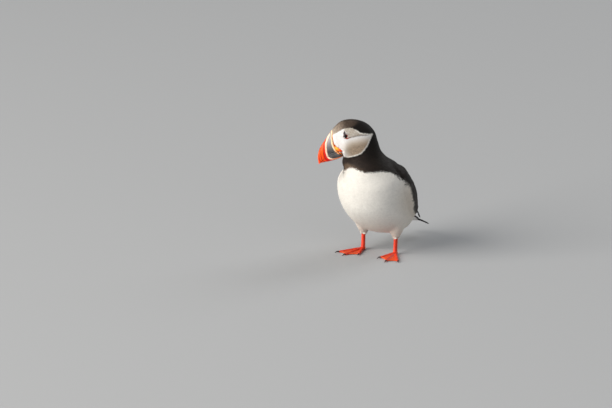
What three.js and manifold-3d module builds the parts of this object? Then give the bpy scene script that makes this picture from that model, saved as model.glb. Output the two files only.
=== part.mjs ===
// Atlantic puffin, standing, life size, as a still museum model.
// Millimetres. The trunk faces -Y, +X is the bird's left and +Z is up. The head looks over the right
// shoulder.
// The origin is on the floor, at the middle of the model's bounding box.
//
// The flesh is one lofted skin, from tail root to bill base, parted into trunk, neck and head. Its sections
// stand across the mid-plane, each from a point on the back to a point on the front. Places in the mid-plane
// are written [forward, up].

import * as THREE from 'three';
import { LoftGeometry } from 'three/addons/geometries/LoftGeometry.js';
import { mergeVertices } from 'three/addons/utils/BufferGeometryUtils.js';
import Module from 'manifold-3d';

const wasm = await Module();
wasm.setup();

// ---------------------------------------------------------------- driving dimensions

const GAP = 0.3; // between neighbouring pieces
const RING = 24; // points round a section of the body
const FINE = 1e-4; // how close two vertices are when they are the same

// The neck turns the head about an upright axis, and carries it a little to the right.
const NECK_FORWARD = 31.5;
const HEAD_TURN = THREE.MathUtils.degToRad(60);
const HEAD_DROOP = THREE.MathUtils.degToRad(30); // bill below level
const HEAD_ASIDE = 10;
const EYE_AHEAD = 20.9; // of the neck's axis
const EYE_HEIGHT = 169.4;

const EYE_RADIUS = 4.5;
const EYE_APART = 27.6; // between the eyes' centres

// The swollen corner of the mouth, in the head's frame.
const GAPE_RADII = [2.4, 5.7, 2.3];
const GAPE_ASIDE = 9.6;
const GAPE_AHEAD = 17.2;
const GAPE_BELOW = 13.2;
const GAPE_TILT = THREE.MathUtils.degToRad(-52);
const GAPE_SPLAY = THREE.MathUtils.degToRad(24);

// Bill, in the head's frame: [ahead of the eyes, above the eyes].
const BILL_TOP = [15.0, 11.7]; // where the culmen meets the forehead
const BILL_CHIN = [18.1, -25.3];
const BILL_TIP = [51.2, -19.5];
const BILL_HALF_WIDTH = 8.4;
const FACE_BULGE = 4; // how far the feathered face bows forward between culmen and chin

const TAIL_ROOT = [-68, 38]; // [forward, up]
const TAIL_LENGTH = 50;
const TAIL_DROOP = THREE.MathUtils.degToRad(25);
const TAIL_ROOT_HALF_WIDTH = 11;
const TAIL_HALF_WIDTH = 24;
const TAIL_THICKNESS = 5;

const FEET_APART = 49;
const FOOT_FORWARD = -1.5; // the ball of the foot
const FOOT_TOE_OUT = THREE.MathUtils.degToRad(10);
const ANKLE_FORWARD = -3;
const ANKLE_HEIGHT = 29;
const THIGH_TOP = 42; // inside the belly
const THIGH_TOP_RADIUS = 13;
const THIGH_END = 24; // where the feathers stop on the leg
const THIGH_END_RADIUS = 4.8;
const SHANK_RADIUS = 2.9;
const SHANK_FLAT = 0.78; // its width across, as a share of its depth
const FOOT_TOP = 6.2; // where the shank ends and the foot begins
const BALL_RADIUS = 3.5;
const TOE_RADIUS = 2.3;
const SOLE_FLAT = 0.5; // taken off the underside of each toe, so that it stands
const WEB_THICKNESS = 1.3;
const WEB_SAG = 0.89; // how far out the web reaches between two toes
const CLAW_LENGTH = 6.5;
const CLAW_RADIUS = 1.25;

// ---------------------------------------------------------------- finishes

const finish = (color, roughness) => new THREE.MeshStandardMaterial({ color, roughness, metalness: 0 });
const BLACK_PLUMAGE = finish(0x1a1614, 0.8);
const WHITE_PLUMAGE = finish(0xf2efe8, 0.85);
const FACE_PLUMAGE = finish(0xd8d4cc, 0.85);
const BILL_HORN = finish(0xe8481c, 0.35);
const GAPE_SKIN = finish(0xf2a01e, 0.5);
const EYE_GLASS = finish(0x120a08, 0.1);
const LEG_SKIN = finish(0xe8501a, 0.5);
const CLAW_HORN = finish(0x1c1815, 0.4);

// ---------------------------------------------------------------- solids

// A geometry's closed surface as a manifold-3d solid, its faces turned outwards.
function solidOf(geometry, matrix = new THREE.Matrix4()) {
  const bare = new THREE.BufferGeometry();
  bare.setAttribute('position', geometry.getAttribute('position').clone());
  bare.setIndex(geometry.getIndex());
  const merged = mergeVertices(bare.applyMatrix4(matrix), FINE);
  const corners = merged.index.array;
  const triVerts = [];
  for (let i = 0; i < corners.length; i += 3) {
    const [a, b, c] = corners.slice(i, i + 3);
    if (a !== b && b !== c && c !== a) triVerts.push(a, b, c);
  }
  const vertProperties = new Float32Array(merged.getAttribute('position').array);
  const make = (tris) => {
    const mesh = new wasm.Mesh({ numProp: 3, vertProperties, triVerts: new Uint32Array(tris) });
    return new wasm.Manifold(mesh);
  };
  const solid = make(triVerts);
  return solid.volume() < 0 ? make([...triVerts].reverse()) : solid;
}

function geometryOf(solid) {
  const mesh = solid.getMesh();
  const geometry = new THREE.BufferGeometry();
  geometry.setAttribute('position', new THREE.BufferAttribute(mesh.vertProperties, mesh.numProp));
  geometry.setIndex(new THREE.BufferAttribute(mesh.triVerts, 1));
  geometry.computeVertexNormals();
  return geometry;
}

function piece(name, solid, material) {
  const mesh = new THREE.Mesh(geometryOf(solid), material);
  mesh.name = name;
  return mesh;
}

function centreOf(points) {
  const sum = points.reduce((total, p) => total.add(p), new THREE.Vector3());
  return sum.divideScalar(points.length);
}

// A solid through rings of points, which may go round either way.
function lofted(rings) {
  const way = centreOf(rings[1]).sub(centreOf(rings[0]));
  const area = new THREE.Vector3();
  rings[0].forEach((p, i, all) => area.add(p.clone().cross(all[(i + 1) % all.length])));
  const sections = area.dot(way) < 0 ? rings.map((points) => [...points].reverse()) : rings;
  return solidOf(new LoftGeometry(sections, { capStart: true, capEnd: true }));
}

// 0 to 1 in even steps, both ends included; and the angles of a ring's points, its start once.
const steps = (count) => Array.from({ length: count + 1 }, (_, i) => i / count);
const ringAngles = (count) => Array.from({ length: count }, (_, i) => (2 * Math.PI * i) / count);
const signedPower = (x, power) => Math.sign(x) * Math.abs(x) ** power;
const lerp = THREE.MathUtils.lerp;
const smooth = THREE.MathUtils.smoothstep;

// ---------------------------------------------------------------- the head's frame

const headFrame = new THREE.Group();
headFrame.rotation.order = 'ZYX';
headFrame.rotation.set(HEAD_DROOP, 0, -HEAD_TURN);
headFrame.position.set(
  -HEAD_ASIDE - EYE_AHEAD * Math.sin(HEAD_TURN),
  -NECK_FORWARD - EYE_AHEAD * Math.cos(HEAD_TURN),
  EYE_HEIGHT,
);
headFrame.updateMatrix();

// [ahead, above] of the eyes, as [forward, up] in the mid-plane before the neck turns.
function fromHead([ahead, above]) {
  const forward = NECK_FORWARD + EYE_AHEAD + ahead * Math.cos(HEAD_DROOP) + above * Math.sin(HEAD_DROOP);
  const up = EYE_HEIGHT - ahead * Math.sin(HEAD_DROOP) + above * Math.cos(HEAD_DROOP);
  return [forward, up];
}

// ---------------------------------------------------------------- the body's skin

// back and front are the section's ends, half its half-width, full how square it is (2 is an ellipse), low
// how far its widest part lies towards the front, and turn the share of the head's turn that it has.
const BILL_BASE = [fromHead(BILL_TOP), fromHead(BILL_CHIN)];
const STATIONS = [
  { at: 'tail root', back: [-73, 42], front: [-61, 29], half: 13, full: 2.2, low: 0, turn: 0 },
  { at: 'rump', back: [-63, 60], front: [-38, 26.5], half: 25.5, full: 2.2, low: 0.06, turn: 0 },
  { at: 'lower back', back: [-53.5, 79], front: [-9, 25.5], half: 37.5, full: 2.2, low: 0.1, turn: 0 },
  { at: 'mid back', back: [-41.5, 98.5], front: [23.5, 38], half: 44, full: 2.15, low: 0.06, turn: 0 },
  { at: 'mantle', back: [-25.5, 114.2], front: [52.5, 65], half: 46.8, full: 2.05, low: 0.02, turn: 0 },
  { at: 'shoulder', back: [-11.5, 127.3], front: [63.5, 94], half: 43, full: 2.1, low: 0, turn: 0.03 },
  { at: 'neck base', back: [1, 136], front: [63, 113.5], half: 29, full: 2.05, low: 0, turn: 0.24 },
  { at: 'neck', back: [8, 146], front: [58, 123], half: 22.6, full: 2, low: 0, turn: 0.62 },
  { at: 'nape', back: [9.8, 157.8], front: [56.8, 128.4], half: 21.8, full: 2, low: 0, turn: 0.93 },
  { at: 'occiput', back: [13.3, 170.6], front: [56.4, 131], half: 21.6, full: 2.05, low: 0.08, turn: 1 },
  { at: 'hind crown', back: [22.3, 181.3], front: [56.1, 132.8], half: 21, full: 2.05, low: 0.14, turn: 1 },
  { at: 'crown', back: [34.5, 186.8], front: [55.7, 134.2], half: 20.4, full: 2.1, low: 0.2, turn: 1 },
  { at: 'fore crown', back: [48, 188], front: [55.3, 135.4], half: 19.6, full: 2.1, low: 0.25, turn: 1 },
  { at: 'forehead', back: [58.7, 185], front: [54.9, 136.5], half: 17.4, full: 2.1, low: 0.25, turn: 1 },
  { at: 'brow', back: [66.4, 178.4], front: [54.5, 137.4], half: 13.4, full: 2.15, low: 0.15, turn: 1 },
  { at: 'bill base', back: BILL_BASE[0], front: BILL_BASE[1], half: 8.6, full: 2.3, low: 0.05, turn: 1 },
];
const stationAt = (name) => STATIONS.findIndex((s) => s.at === name);
const LAST = STATIONS.length - 1;

const curveOf = (pick) => new THREE.SplineCurve(STATIONS.map((s) => new THREE.Vector2(...pick(s))));
const backLine = curveOf((s) => s.back);
const frontLine = curveOf((s) => s.front);
const sideLine = curveOf((s) => [s.half, s.turn]);
const shapeLine = curveOf((s) => [s.full, s.low]);

// A point of the mid-plane frame, carried round by the neck into the bird's frame.
function turned(side, forward, up, share) {
  const angle = HEAD_TURN * share;
  const ahead = forward - NECK_FORWARD;
  return new THREE.Vector3(
    side * Math.cos(angle) - ahead * Math.sin(angle) - HEAD_ASIDE * share,
    -(NECK_FORWARD + ahead * Math.cos(angle) + side * Math.sin(angle)),
    up,
  );
}

// The skin's point at a station, round an angle that starts on the back and goes over the left side. swell
// moves it outwards.
function skin(station, angle, swell = 0) {
  const t = THREE.MathUtils.clamp(station / LAST, 0, 1);
  const back = backLine.getPoint(t);
  const front = frontLine.getPoint(t);
  const { x: half, y: share } = sideLine.getPoint(t);
  const { x: full, y: low } = shapeLine.getPoint(t);
  const along = signedPower(Math.cos(angle), 2 / full);
  const across = signedPower(Math.sin(angle), 2 / full);
  const reach = back.clone().sub(front).multiplyScalar(0.5);
  const grown = 1 + swell / reach.length();
  const place = along * grown - low * (1 - along * along);
  const middle = back.clone().add(front).multiplyScalar(0.5).addScaledVector(reach, place);
  return turned(across * (half + swell), middle.x, middle.y, THREE.MathUtils.clamp(share, 0, 1));
}

const ring = (station, swell) => ringAngles(RING).map((angle) => skin(station, angle, swell));

// Moves an end ring along the body, away from its neighbour, or towards it if the distance is negative.
function pushEnd(end, neighbour, distance) {
  const [a, b, c] = [0, RING / 4, RING / 2].map((j) => end[j]);
  const normal = b.clone().sub(a).cross(c.clone().sub(a)).normalize();
  const outwards = centreOf(neighbour).sub(centreOf(end)).dot(normal) > 0 ? -1 : 1;
  end.forEach((p) => p.addScaledVector(normal, outwards * distance));
}

// The skin through some stations, swollen by a distance, with its first and last rings pushed out.
function stretch(stations, { swell = 0, first = 0, last = 0 } = {}) {
  const rings = stations.map((station) => ring(station, swell));
  pushEnd(rings[0], rings[1], first);
  pushEnd(rings.at(-1), rings.at(-2), last);
  return lofted(rings);
}
const between = (from, to, count) => steps(count).map((s) => lerp(from, to, s));

const NECK_FROM = stationAt('neck base');
const NECK_TO = stationAt('nape') + 0.5;
const TRUNK_STATIONS = between(0, NECK_FROM, 14);
const trunk = stretch(TRUNK_STATIONS, { last: -GAP });

// The trunk and the gap round it, which is cut from what lies on it.
const trunkClear = stretch([...TRUNK_STATIONS, NECK_FROM + 0.4], { swell: GAP, first: GAP });
const neck = stretch(between(NECK_FROM, NECK_TO, 6), { last: -GAP });

// ---------------------------------------------------------------- head, eyes and bill

function eyeball(side, radius) {
  const ball = new THREE.SphereGeometry(radius, 12, 8);
  ball.rotateZ(Math.PI / 2);
  ball.translate((side * EYE_APART) / 2, 0, 0);
  return ball;
}

// A swollen corner of the mouth, as a small cushion standing on the skin.
function gapeCushion(side, swell) {
  const cushion = new THREE.SphereGeometry(1, 10, 7);
  cushion.scale(...GAPE_RADII.map((radius) => radius + swell));
  cushion.rotateX(GAPE_TILT);
  cushion.rotateZ(side * GAPE_SPLAY);
  cushion.translate(side * GAPE_ASIDE, -GAPE_AHEAD, -GAPE_BELOW);
  return cushion;
}

// Cuts what make gives on both sides, in the frame of the matrix, from a solid.
function withoutPair(solid, make, matrix) {
  return [-1, 1].reduce((rest, side) => rest.subtract(solidOf(make(side), matrix)), solid);
}
const eyeSocket = (side) => eyeball(side, EYE_RADIUS + GAP);
const gapeSocket = (side) => gapeCushion(side, GAP);

// The bill's side outline, and the mouth's line, in the head's frame.
const path = (...points) => new THREE.SplineCurve(points.map((p) => new THREE.Vector2(...p)));
const CULMEN = path(BILL_TOP, [23, 7.5], [30.6, 4], [38, 0], [43.8, -5.1], [48.1, -11.2], BILL_TIP);
const MOUTH = path([17.4, -17.2], [22, -16.4], [30, -15.6], [38, -15.4], [44, -16.2], [48.5, -18], BILL_TIP);
const GONYS = path(BILL_CHIN, [26, -24.9], [33, -23.6], [39, -21.9], [43.5, -20.4], [47.6, -18.9]);

// Sections from base to tip. edge is the culmen or the gonys, mouthShare how far along the mouth the tip
// lies, and blunt how round the edge is: the less, the rounder. clear is left free beside the mouth's line.
function mandible(edge, mouthShare, blunt, clear) {
  const sections = steps(11).map((s) => {
    const t = 0.985 * Math.sin((s * Math.PI) / 2) ** 1.15;
    const outer = edge.getPoint(t);
    const inner = MOUTH.getPoint(t * mouthShare);
    const away = outer.clone().sub(inner).normalize();
    inner.addScaledVector(away, clear);
    const half = BILL_HALF_WIDTH * lerp(1, 0.1, t ** 1.35);
    return steps(12).map((u) => {
      const angle = u * Math.PI;
      const rise = Math.sin(angle) ** blunt;
      const across = signedPower(Math.cos(angle), 0.8) * half * lerp(0.88, 1, rise);
      const place = inner.clone().lerp(outer, rise);
      return new THREE.Vector3(across, -place.x, place.y);
    });
  });
  return lofted(sections);
}
const upperWhole = mandible(CULMEN, 1, 0.95, GAP / 2);
const lowerWhole = mandible(GONYS, 0.9, 0.8, GAP / 2);

// The feathered face bows forward over the bill's base, as a round drum laid across the head. The bill is
// what stands in front of the drum, and the face takes what is inside it.
function faceDrum(swell) {
  const [top, chin] = [BILL_TOP, BILL_CHIN].map((p) => new THREE.Vector2(...p));
  const half = top.distanceTo(chin) / 2;
  const radius = (half ** 2 + FACE_BULGE ** 2) / (2 * FACE_BULGE);
  const down = chin.clone().sub(top).normalize();
  const ahead = new THREE.Vector2(-down.y, down.x);
  const centre = top.clone().add(chin).multiplyScalar(0.5).addScaledVector(ahead, FACE_BULGE - radius);
  const drum = new THREE.CylinderGeometry(radius + swell, radius + swell, 6 * BILL_HALF_WIDTH, 72);
  drum.rotateZ(Math.PI / 2);
  drum.translate(0, -centre.x, centre.y);
  return solidOf(drum);
}
const upper = withoutPair(upperWhole.subtract(faceDrum(GAP)), gapeSocket);
const lower = withoutPair(lowerWhole.subtract(faceDrum(GAP)), gapeSocket);

const faceFront = mandible(CULMEN, 1, 0.95, -GAP).add(mandible(GONYS, 0.9, 0.8, -GAP)).intersect(faceDrum(0));
const bareHead = stretch(between(NECK_TO, LAST, 15), { last: GAP });
const wholeHead = bareHead.add(solidOf(geometryOf(faceFront), headFrame.matrix));
const eyedHead = withoutPair(wholeHead, eyeSocket, headFrame.matrix);
const head = withoutPair(eyedHead, gapeSocket, headFrame.matrix);

// ---------------------------------------------------------------- folded wings and tail

// The wing lies on the back and flank, from the wrist at the shoulder to the tip beyond the tail root.
// low and high are the angles round the body, in degrees, of its front and back edges, lift is how far it
// stands off the trunk, and thick how thick it is.
const WING = [
  { station: 5.6, low: 60, high: 50, lift: 0, thick: 1.2 },
  { station: 5.3, low: 70, high: 42, lift: 0, thick: 2.6 },
  { station: 4.8, low: 78, high: 34, lift: 0, thick: 4 },
  { station: 4.0, low: 88, high: 28, lift: 0, thick: 4.6 },
  { station: 3.0, low: 94, high: 22, lift: 0, thick: 4.6 },
  { station: 2.0, low: 93, high: 17, lift: 0.3, thick: 4 },
  { station: 1.1, low: 86, high: 12, lift: 2, thick: 3.4 },
  { station: 0.35, low: 72, high: 12, lift: 5, thick: 2.8 },
];
const WING_TIP = new THREE.Vector3(7, 103, 27); // of the left wing
const WING_TIP_ROWS = [
  { share: 0.5, thick: 2.6 },
  { share: 0.85, thick: 1.8 },
  { share: 1, thick: 0.8 },
];
const WING_COLUMNS = 8;
const WING_EDGE = 0.12; // an edge's thickness, as a share of the middle's

// A row of the wing is a list of pairs, the inner point and the outer one.
function wingRow({ station, low, high, lift, thick }) {
  return steps(WING_COLUMNS).map((s) => {
    const angle = THREE.MathUtils.degToRad(lerp(low, high, s));
    const bulge = thick * Math.max(WING_EDGE, Math.sin(Math.PI * s) ** 0.6);
    const inside = GAP + 0.1 + lift;
    return [skin(station, angle, inside), skin(station, angle, inside + bulge)];
  });
}

// Beyond the body the wing's last row is carried to the tip, and pinched.
function wingTipRow(last, { share, thick }) {
  const pinch = lerp(1, WING_EDGE, share ** 1.6);
  const [core] = last[WING_COLUMNS / 2];
  return last.map(([inner, outer]) => {
    const spread = inner.clone().sub(core).multiplyScalar(pinch);
    const place = core.clone().lerp(WING_TIP, share).add(spread);
    const outwards = outer.clone().sub(inner).normalize();
    return [place, place.clone().addScaledVector(outwards, thick)];
  });
}

function wing() {
  const rows = WING.map(wingRow);
  const last = rows.at(-1);
  rows.push(...WING_TIP_ROWS.map((spec) => wingTipRow(last, spec)));
  const outline = (row) => [...row.map(([, outer]) => outer), ...row.map(([inner]) => inner).reverse()];
  return lofted(rows.map(outline)).subtract(trunkClear);
}

// The tail is a shallow fan that carries on down the line of the back.
function tail() {
  const root = new THREE.Vector2(...TAIL_ROOT);
  const way = new THREE.Vector2(-Math.cos(TAIL_DROOP), -Math.sin(TAIL_DROOP));
  const end = root.clone().addScaledVector(way, TAIL_LENGTH);
  const fan = steps(8).map((s) => {
    const open = lerp(TAIL_ROOT_HALF_WIDTH, TAIL_HALF_WIDTH, smooth(s, 0, 0.75));
    const half = open * lerp(1, 0.72, smooth(s, 0.75, 1));
    const thick = TAIL_THICKNESS * lerp(1.7, 0.35, s);
    return ringAngles(18).map((angle) => {
      const across = Math.cos(angle);
      const sag = 0.16 * half * across ** 2 * lerp(0.4, 1, s);
      const middle = root.clone().lerp(end, s - 0.1 * s * across ** 2);
      return new THREE.Vector3(half * across, -middle.x, middle.y - sag + (Math.sin(angle) * thick) / 2);
    });
  });
  return lofted(fan).subtract(trunkClear);
}

// ---------------------------------------------------------------- legs and feet

// The left leg is made, and mirrored for the right.
const ANKLE = new THREE.Vector3(FEET_APART / 2, -ANKLE_FORWARD, ANKLE_HEIGHT);
const BALL = new THREE.Vector3(FEET_APART / 2, -FOOT_FORWARD, BALL_RADIUS);

// A tube of round sections along a curve, flattened across its way by a share.
function limb(curve, radiusAt, count, sides, flatten = 1) {
  const rings = steps(count).map((s) => {
    const middle = curve.getPoint(s);
    const way = curve.getTangent(s);
    const across = new THREE.Vector3(1, 0, 0).addScaledVector(way, -way.x).normalize();
    const other = way.clone().cross(across);
    return ringAngles(sides).map((angle) => {
      const aside = across.clone().multiplyScalar(Math.cos(angle) * radiusAt(s) * flatten);
      return aside.add(middle).addScaledVector(other, Math.sin(angle) * radiusAt(s));
    });
  });
  return lofted(rings);
}

const shankLine = new THREE.LineCurve3(ANKLE, BALL);
const shankRadius = (s) => SHANK_RADIUS + 0.9 * (1 - smooth(s, 0, 0.25)) + 0.7 * smooth(s, 0.7, 1);
const shankSwollen = (swell) => limb(shankLine, (s) => shankRadius(s) + swell, 7, 10, SHANK_FLAT);
const shankWhole = shankSwollen(0);

// The feathered thigh comes out of the belly and ends round the ankle.
function thigh() {
  const line = new THREE.LineCurve3(ANKLE.clone().setZ(THIGH_TOP), ANKLE.clone().setZ(THIGH_END));
  const cone = limb(line, (s) => lerp(THIGH_TOP_RADIUS, THIGH_END_RADIUS, s ** 1.4), 6, 14);
  return cone.subtract(trunkClear).subtract(shankSwollen(GAP));
}

// A block that fills everything near the leg from one height to another.
function slab(bottom, top) {
  const block = new THREE.BoxGeometry(2 * FEET_APART, 2 * FEET_APART, top - bottom);
  block.translate(ANKLE.x, ANKLE.y, (bottom + top) / 2);
  return solidOf(block);
}
const shank = shankWhole.subtract(slab(-1, FOOT_TOP + GAP)).subtract(trunkClear);

// Toes, in the foot's frame: the ball is over the origin and the middle toe runs along -Y.
const TOES = [
  { at: 'inner', splay: -27, length: 27 },
  { at: 'middle', splay: 0, length: 37 },
  { at: 'outer', splay: 24, length: 35.5 },
];
const toeWay = (splay) => {
  const angle = THREE.MathUtils.degToRad(splay);
  return new THREE.Vector3(Math.sin(angle), -Math.cos(angle), 0);
};
const toeEnd = ({ splay, length }) => toeWay(splay).multiplyScalar(length);

// Three joints swell each toe, and it thins towards its claw.
function toe(spec) {
  const end = toeEnd(spec);
  const radius = (s) => TOE_RADIUS * lerp(1, 0.72, s);
  const points = steps(4).map((s) => new THREE.Vector3(end.x * s, end.y * s, radius(s) - SOLE_FLAT));
  const line = new THREE.CatmullRomCurve3(points);
  return limb(line, (s) => radius(s) * (1 + 0.08 * Math.cos(6 * Math.PI * s)), 9, 8);
}

// The web's free edge hangs in from toe tip to toe tip.
function web() {
  const [inner, middle, outer] = TOES.map(toeEnd);
  const outline = new THREE.Shape();
  const hangTo = (from, to) => {
    const sag = from.clone().add(to).multiplyScalar(WEB_SAG / 2);
    outline.quadraticCurveTo(sag.x, sag.y, to.x, to.y);
  };
  outline.moveTo(-1.5, 1.5);
  outline.lineTo(inner.x, inner.y);
  hangTo(inner, middle);
  hangTo(middle, outer);
  outline.lineTo(1.5, 1.5);
  outline.closePath();
  const settings = { depth: WEB_THICKNESS, bevelEnabled: false, curveSegments: 8 };
  const sheet = new THREE.ExtrudeGeometry(outline, settings);
  sheet.translate(0, 0, SOLE_FLAT);
  return solidOf(sheet);
}

const turnOut = new THREE.Matrix4().makeRotationZ(FOOT_TOE_OUT);
const footFrame = new THREE.Matrix4().makeTranslation(BALL.x, BALL.y, 0).multiply(turnOut);
const inFoot = (solid) => solidOf(geometryOf(solid), footFrame);

function foot() {
  const ball = new THREE.SphereGeometry(BALL_RADIUS, 10, 7);
  ball.scale(1, 1.15, 0.9);
  ball.translate(0, 0, TOE_RADIUS);
  const toes = TOES.map(toe).reduce((whole, next) => whole.add(next), solidOf(ball).add(web()));
  const shankEnd = shankWhole.subtract(slab(FOOT_TOP, 2 * ANKLE_HEIGHT));
  return inFoot(toes).add(shankEnd).subtract(slab(-10, 0));
}

// A claw curves down from its toe's end and stops just above the floor.
function claw(spec) {
  const way = toeWay(spec.splay);
  const at = (out, up) => toeEnd(spec).addScaledVector(way, GAP + out).setZ(up);
  const line = new THREE.CatmullRomCurve3([at(0, 1.5), at(2.4, 2.1), at(4.6, 1.7), at(CLAW_LENGTH, 0.5)]);
  return limb(line, (s) => lerp(CLAW_RADIUS, 0.3, s ** 1.2), 5, 6);
}

// ---------------------------------------------------------------- the bird

const bird = new THREE.Group();
bird.add(headFrame);
bird.add(piece('trunk', trunk, WHITE_PLUMAGE));
bird.add(piece('neck', neck, BLACK_PLUMAGE));
bird.add(piece('head', head, FACE_PLUMAGE));
bird.add(piece('tail', tail(), BLACK_PLUMAGE));
headFrame.add(piece('bill_upper', upper, BILL_HORN));
headFrame.add(piece('bill_lower', lower, BILL_HORN));

for (const [name, side] of [['left', 1], ['right', -1]]) {
  headFrame.add(piece(`eye_${name}`, solidOf(eyeball(side, EYE_RADIUS)), EYE_GLASS));
  headFrame.add(piece(`gape_${name}`, solidOf(gapeCushion(side, 0)), GAPE_SKIN));

  const half = new THREE.Group();
  half.scale.x = side;
  half.add(piece(`wing_${name}`, wing(), BLACK_PLUMAGE));
  half.add(piece(`thigh_${name}`, thigh(), WHITE_PLUMAGE));
  half.add(piece(`shank_${name}`, shank, LEG_SKIN));
  half.add(piece(`foot_${name}`, foot(), LEG_SKIN));
  half.add(...TOES.map((spec) => piece(`claw_${name}_${spec.at}`, inFoot(claw(spec)), CLAW_HORN)));
  bird.add(half);
}

const bounds = new THREE.Box3().setFromObject(bird, true);
const middle = bounds.getCenter(new THREE.Vector3());
bird.position.set(-middle.x, -middle.y, -bounds.min.z);

export default bird;
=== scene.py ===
"""Atlantic puffin, standing, life size: its skin, coat, bill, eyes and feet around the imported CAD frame.

Shapes are worked out in millimetres in the bird's own frame: the origin is on the floor between the feet,
+X is the bird's left, -Y is ahead of the trunk and +Z is up. Each mesh is carried to the row's frame, in
metres, as it is made. The head has a frame of its own, of [ahead, above, aside] from midway between the
eyes.
"""

from __future__ import annotations

import logging
import math
from dataclasses import dataclass
from enum import Enum
from typing import Callable, Sequence

import bmesh
import bpy
import numpy as np
from mathutils import Matrix, Vector
from mathutils.bvhtree import BVHTree
from mathutils.kdtree import KDTree


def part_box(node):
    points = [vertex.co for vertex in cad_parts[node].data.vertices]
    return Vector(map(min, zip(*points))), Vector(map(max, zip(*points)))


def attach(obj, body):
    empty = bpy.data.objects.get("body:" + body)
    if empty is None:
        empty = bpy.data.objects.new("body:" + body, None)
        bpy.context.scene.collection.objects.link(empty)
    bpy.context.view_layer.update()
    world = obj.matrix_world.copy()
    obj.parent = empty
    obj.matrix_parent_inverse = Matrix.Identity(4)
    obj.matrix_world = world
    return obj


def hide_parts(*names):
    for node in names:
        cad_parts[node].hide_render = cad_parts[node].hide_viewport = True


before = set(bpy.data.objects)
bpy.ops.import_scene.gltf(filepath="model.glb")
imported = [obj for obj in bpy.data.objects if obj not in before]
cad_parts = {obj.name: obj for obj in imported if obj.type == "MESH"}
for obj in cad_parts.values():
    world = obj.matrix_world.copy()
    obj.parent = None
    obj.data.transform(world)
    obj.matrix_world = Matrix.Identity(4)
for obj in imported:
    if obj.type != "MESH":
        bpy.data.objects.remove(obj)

LOG = logging.getLogger("puffin")
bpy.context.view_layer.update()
MM = 0.001
SEED = 20
BODY = "root"
TAU = 2 * math.pi
SIDES = ((1, "left"), (-1, "right"))
DOUBLE = 1e-6  # vertices nearer than this, in metres, are one
Pair = tuple[float, float]
Line = tuple[Pair, ...]
Array = np.ndarray
Form = bmesh.types.BMesh
Mesh = bpy.types.Mesh
Piece = bpy.types.Object
Material = bpy.types.Material
Random = np.random.Generator


# ---- small tools


def unit(vectors: Array) -> Array:
    """Vectors of length one along the last axis."""
    return vectors / np.maximum(np.linalg.norm(vectors, axis=-1, keepdims=True), 1e-9)


def dot(a: Array, b: Array) -> Array:
    """Dot products along the last axis, which is kept."""
    return (a * b).sum(-1, keepdims=True)


def span(vectors: Array) -> Array:
    """Lengths of N vectors."""
    return np.linalg.norm(vectors, axis=1)


def from_back(angle: Array) -> Array:
    """How far round from the back an angle is, on either side."""
    return np.minimum(angle, TAU - angle)


def ease(value: Array | float, low: float, high: float) -> Array:
    """A smooth step from 0 at low to 1 at high.

    Args:
        value: Where it is read.
        low: Where it leaves 0.
        high: Where it reaches 1. It may be less than low.

    Returns:
        The step's values.
    """
    t = np.clip((np.asarray(value, float) - low) / (high - low), 0, 1)
    return t * t * (3 - 2 * t)


def mix(a: Array | float, b: Array | float, share: Array | float) -> Array:
    """a where share is 0 and b where it is 1."""
    return a + (b - a) * share


def bump_at(distance: Array, width: float) -> Array:
    """A soft bump of height 1 at distance 0."""
    return np.exp(-((distance / width) ** 2))


def catmull(table: Array, place: Array) -> Array:
    """A Catmull-Rom curve through a table's rows.

    Args:
        table: The rows, one to each whole number.
        place: Where the curve is read, from 0 to the last row.

    Returns:
        The row at each place.
    """
    last = len(table) - 1
    place = np.clip(np.asarray(place, float), 0, last)
    i = np.minimum(np.floor(place).astype(int), last)
    t = (place - i)[..., None]
    a, b = table[np.maximum(i - 1, 0)], table[i]
    c, d = table[np.minimum(i + 1, last)], table[np.minimum(i + 2, last)]
    leave, reach = (c - a) / 2, (d - b) / 2
    cubic, square = 2 * b - 2 * c + leave + reach, 3 * c - 3 * b - 2 * leave - reach
    return cubic * t**3 + square * t**2 + leave * t + b


def signed_power(x: Array, power: Array | float) -> Array:
    """x raised to a power, with its sign kept."""
    return np.sign(x) * np.abs(x) ** power


def line_distance(points: Array, line: Sequence[Pair]) -> Array:
    """How far points of a plane lie from a broken line.

    Args:
        points: N by 2.
        line: The line's corners.

    Returns:
        N distances.
    """
    corners = np.array(line, float)
    start, way = corners[:-1], np.diff(corners, axis=0)
    to = points[:, None] - start
    t = np.clip((to * way).sum(-1) / (way**2).sum(-1), 0, 1)
    return np.linalg.norm(to - t[..., None] * way, axis=-1).min(1)


def depth_inside(points: Array, outline: Sequence[Pair]) -> Array:
    """How deep points of a plane lie inside a closed outline, less than 0 outside it.

    Args:
        points: N by 3.
        outline: Its corners.

    Returns:
        N depths.
    """
    corners = np.array(outline, float)
    after = np.roll(corners, -1, axis=0)
    x, y = points[:, None, 0], points[:, None, 1]
    crosses = (corners[:, 1] > y) != (after[:, 1] > y)
    rise = np.where(after[:, 1] == corners[:, 1], 1e-9, after[:, 1] - corners[:, 1])
    hit = x < (after[:, 0] - corners[:, 0]) * (y - corners[:, 1]) / rise + corners[:, 0]
    inside = (crosses & hit).sum(1) % 2 == 1
    away = line_distance(points, [*outline, outline[0]])
    return np.where(inside, away, -away)


def wobble(points: Array, size: float, seed: int = 0) -> Array:
    """A smooth random field from about -1 to 1.

    Args:
        points: N by 3, in millimetres.
        size: How far apart its hills are.
        seed: Which field.

    Returns:
        N values.
    """
    rng = np.random.default_rng(seed)
    total = np.zeros(len(points))
    for _ in range(6):
        way = unit(rng.normal(size=3)) * TAU / size * rng.uniform(0.6, 1.5)
        total += np.sin(points @ way + rng.uniform(0, TAU))
    return total / 3


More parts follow.
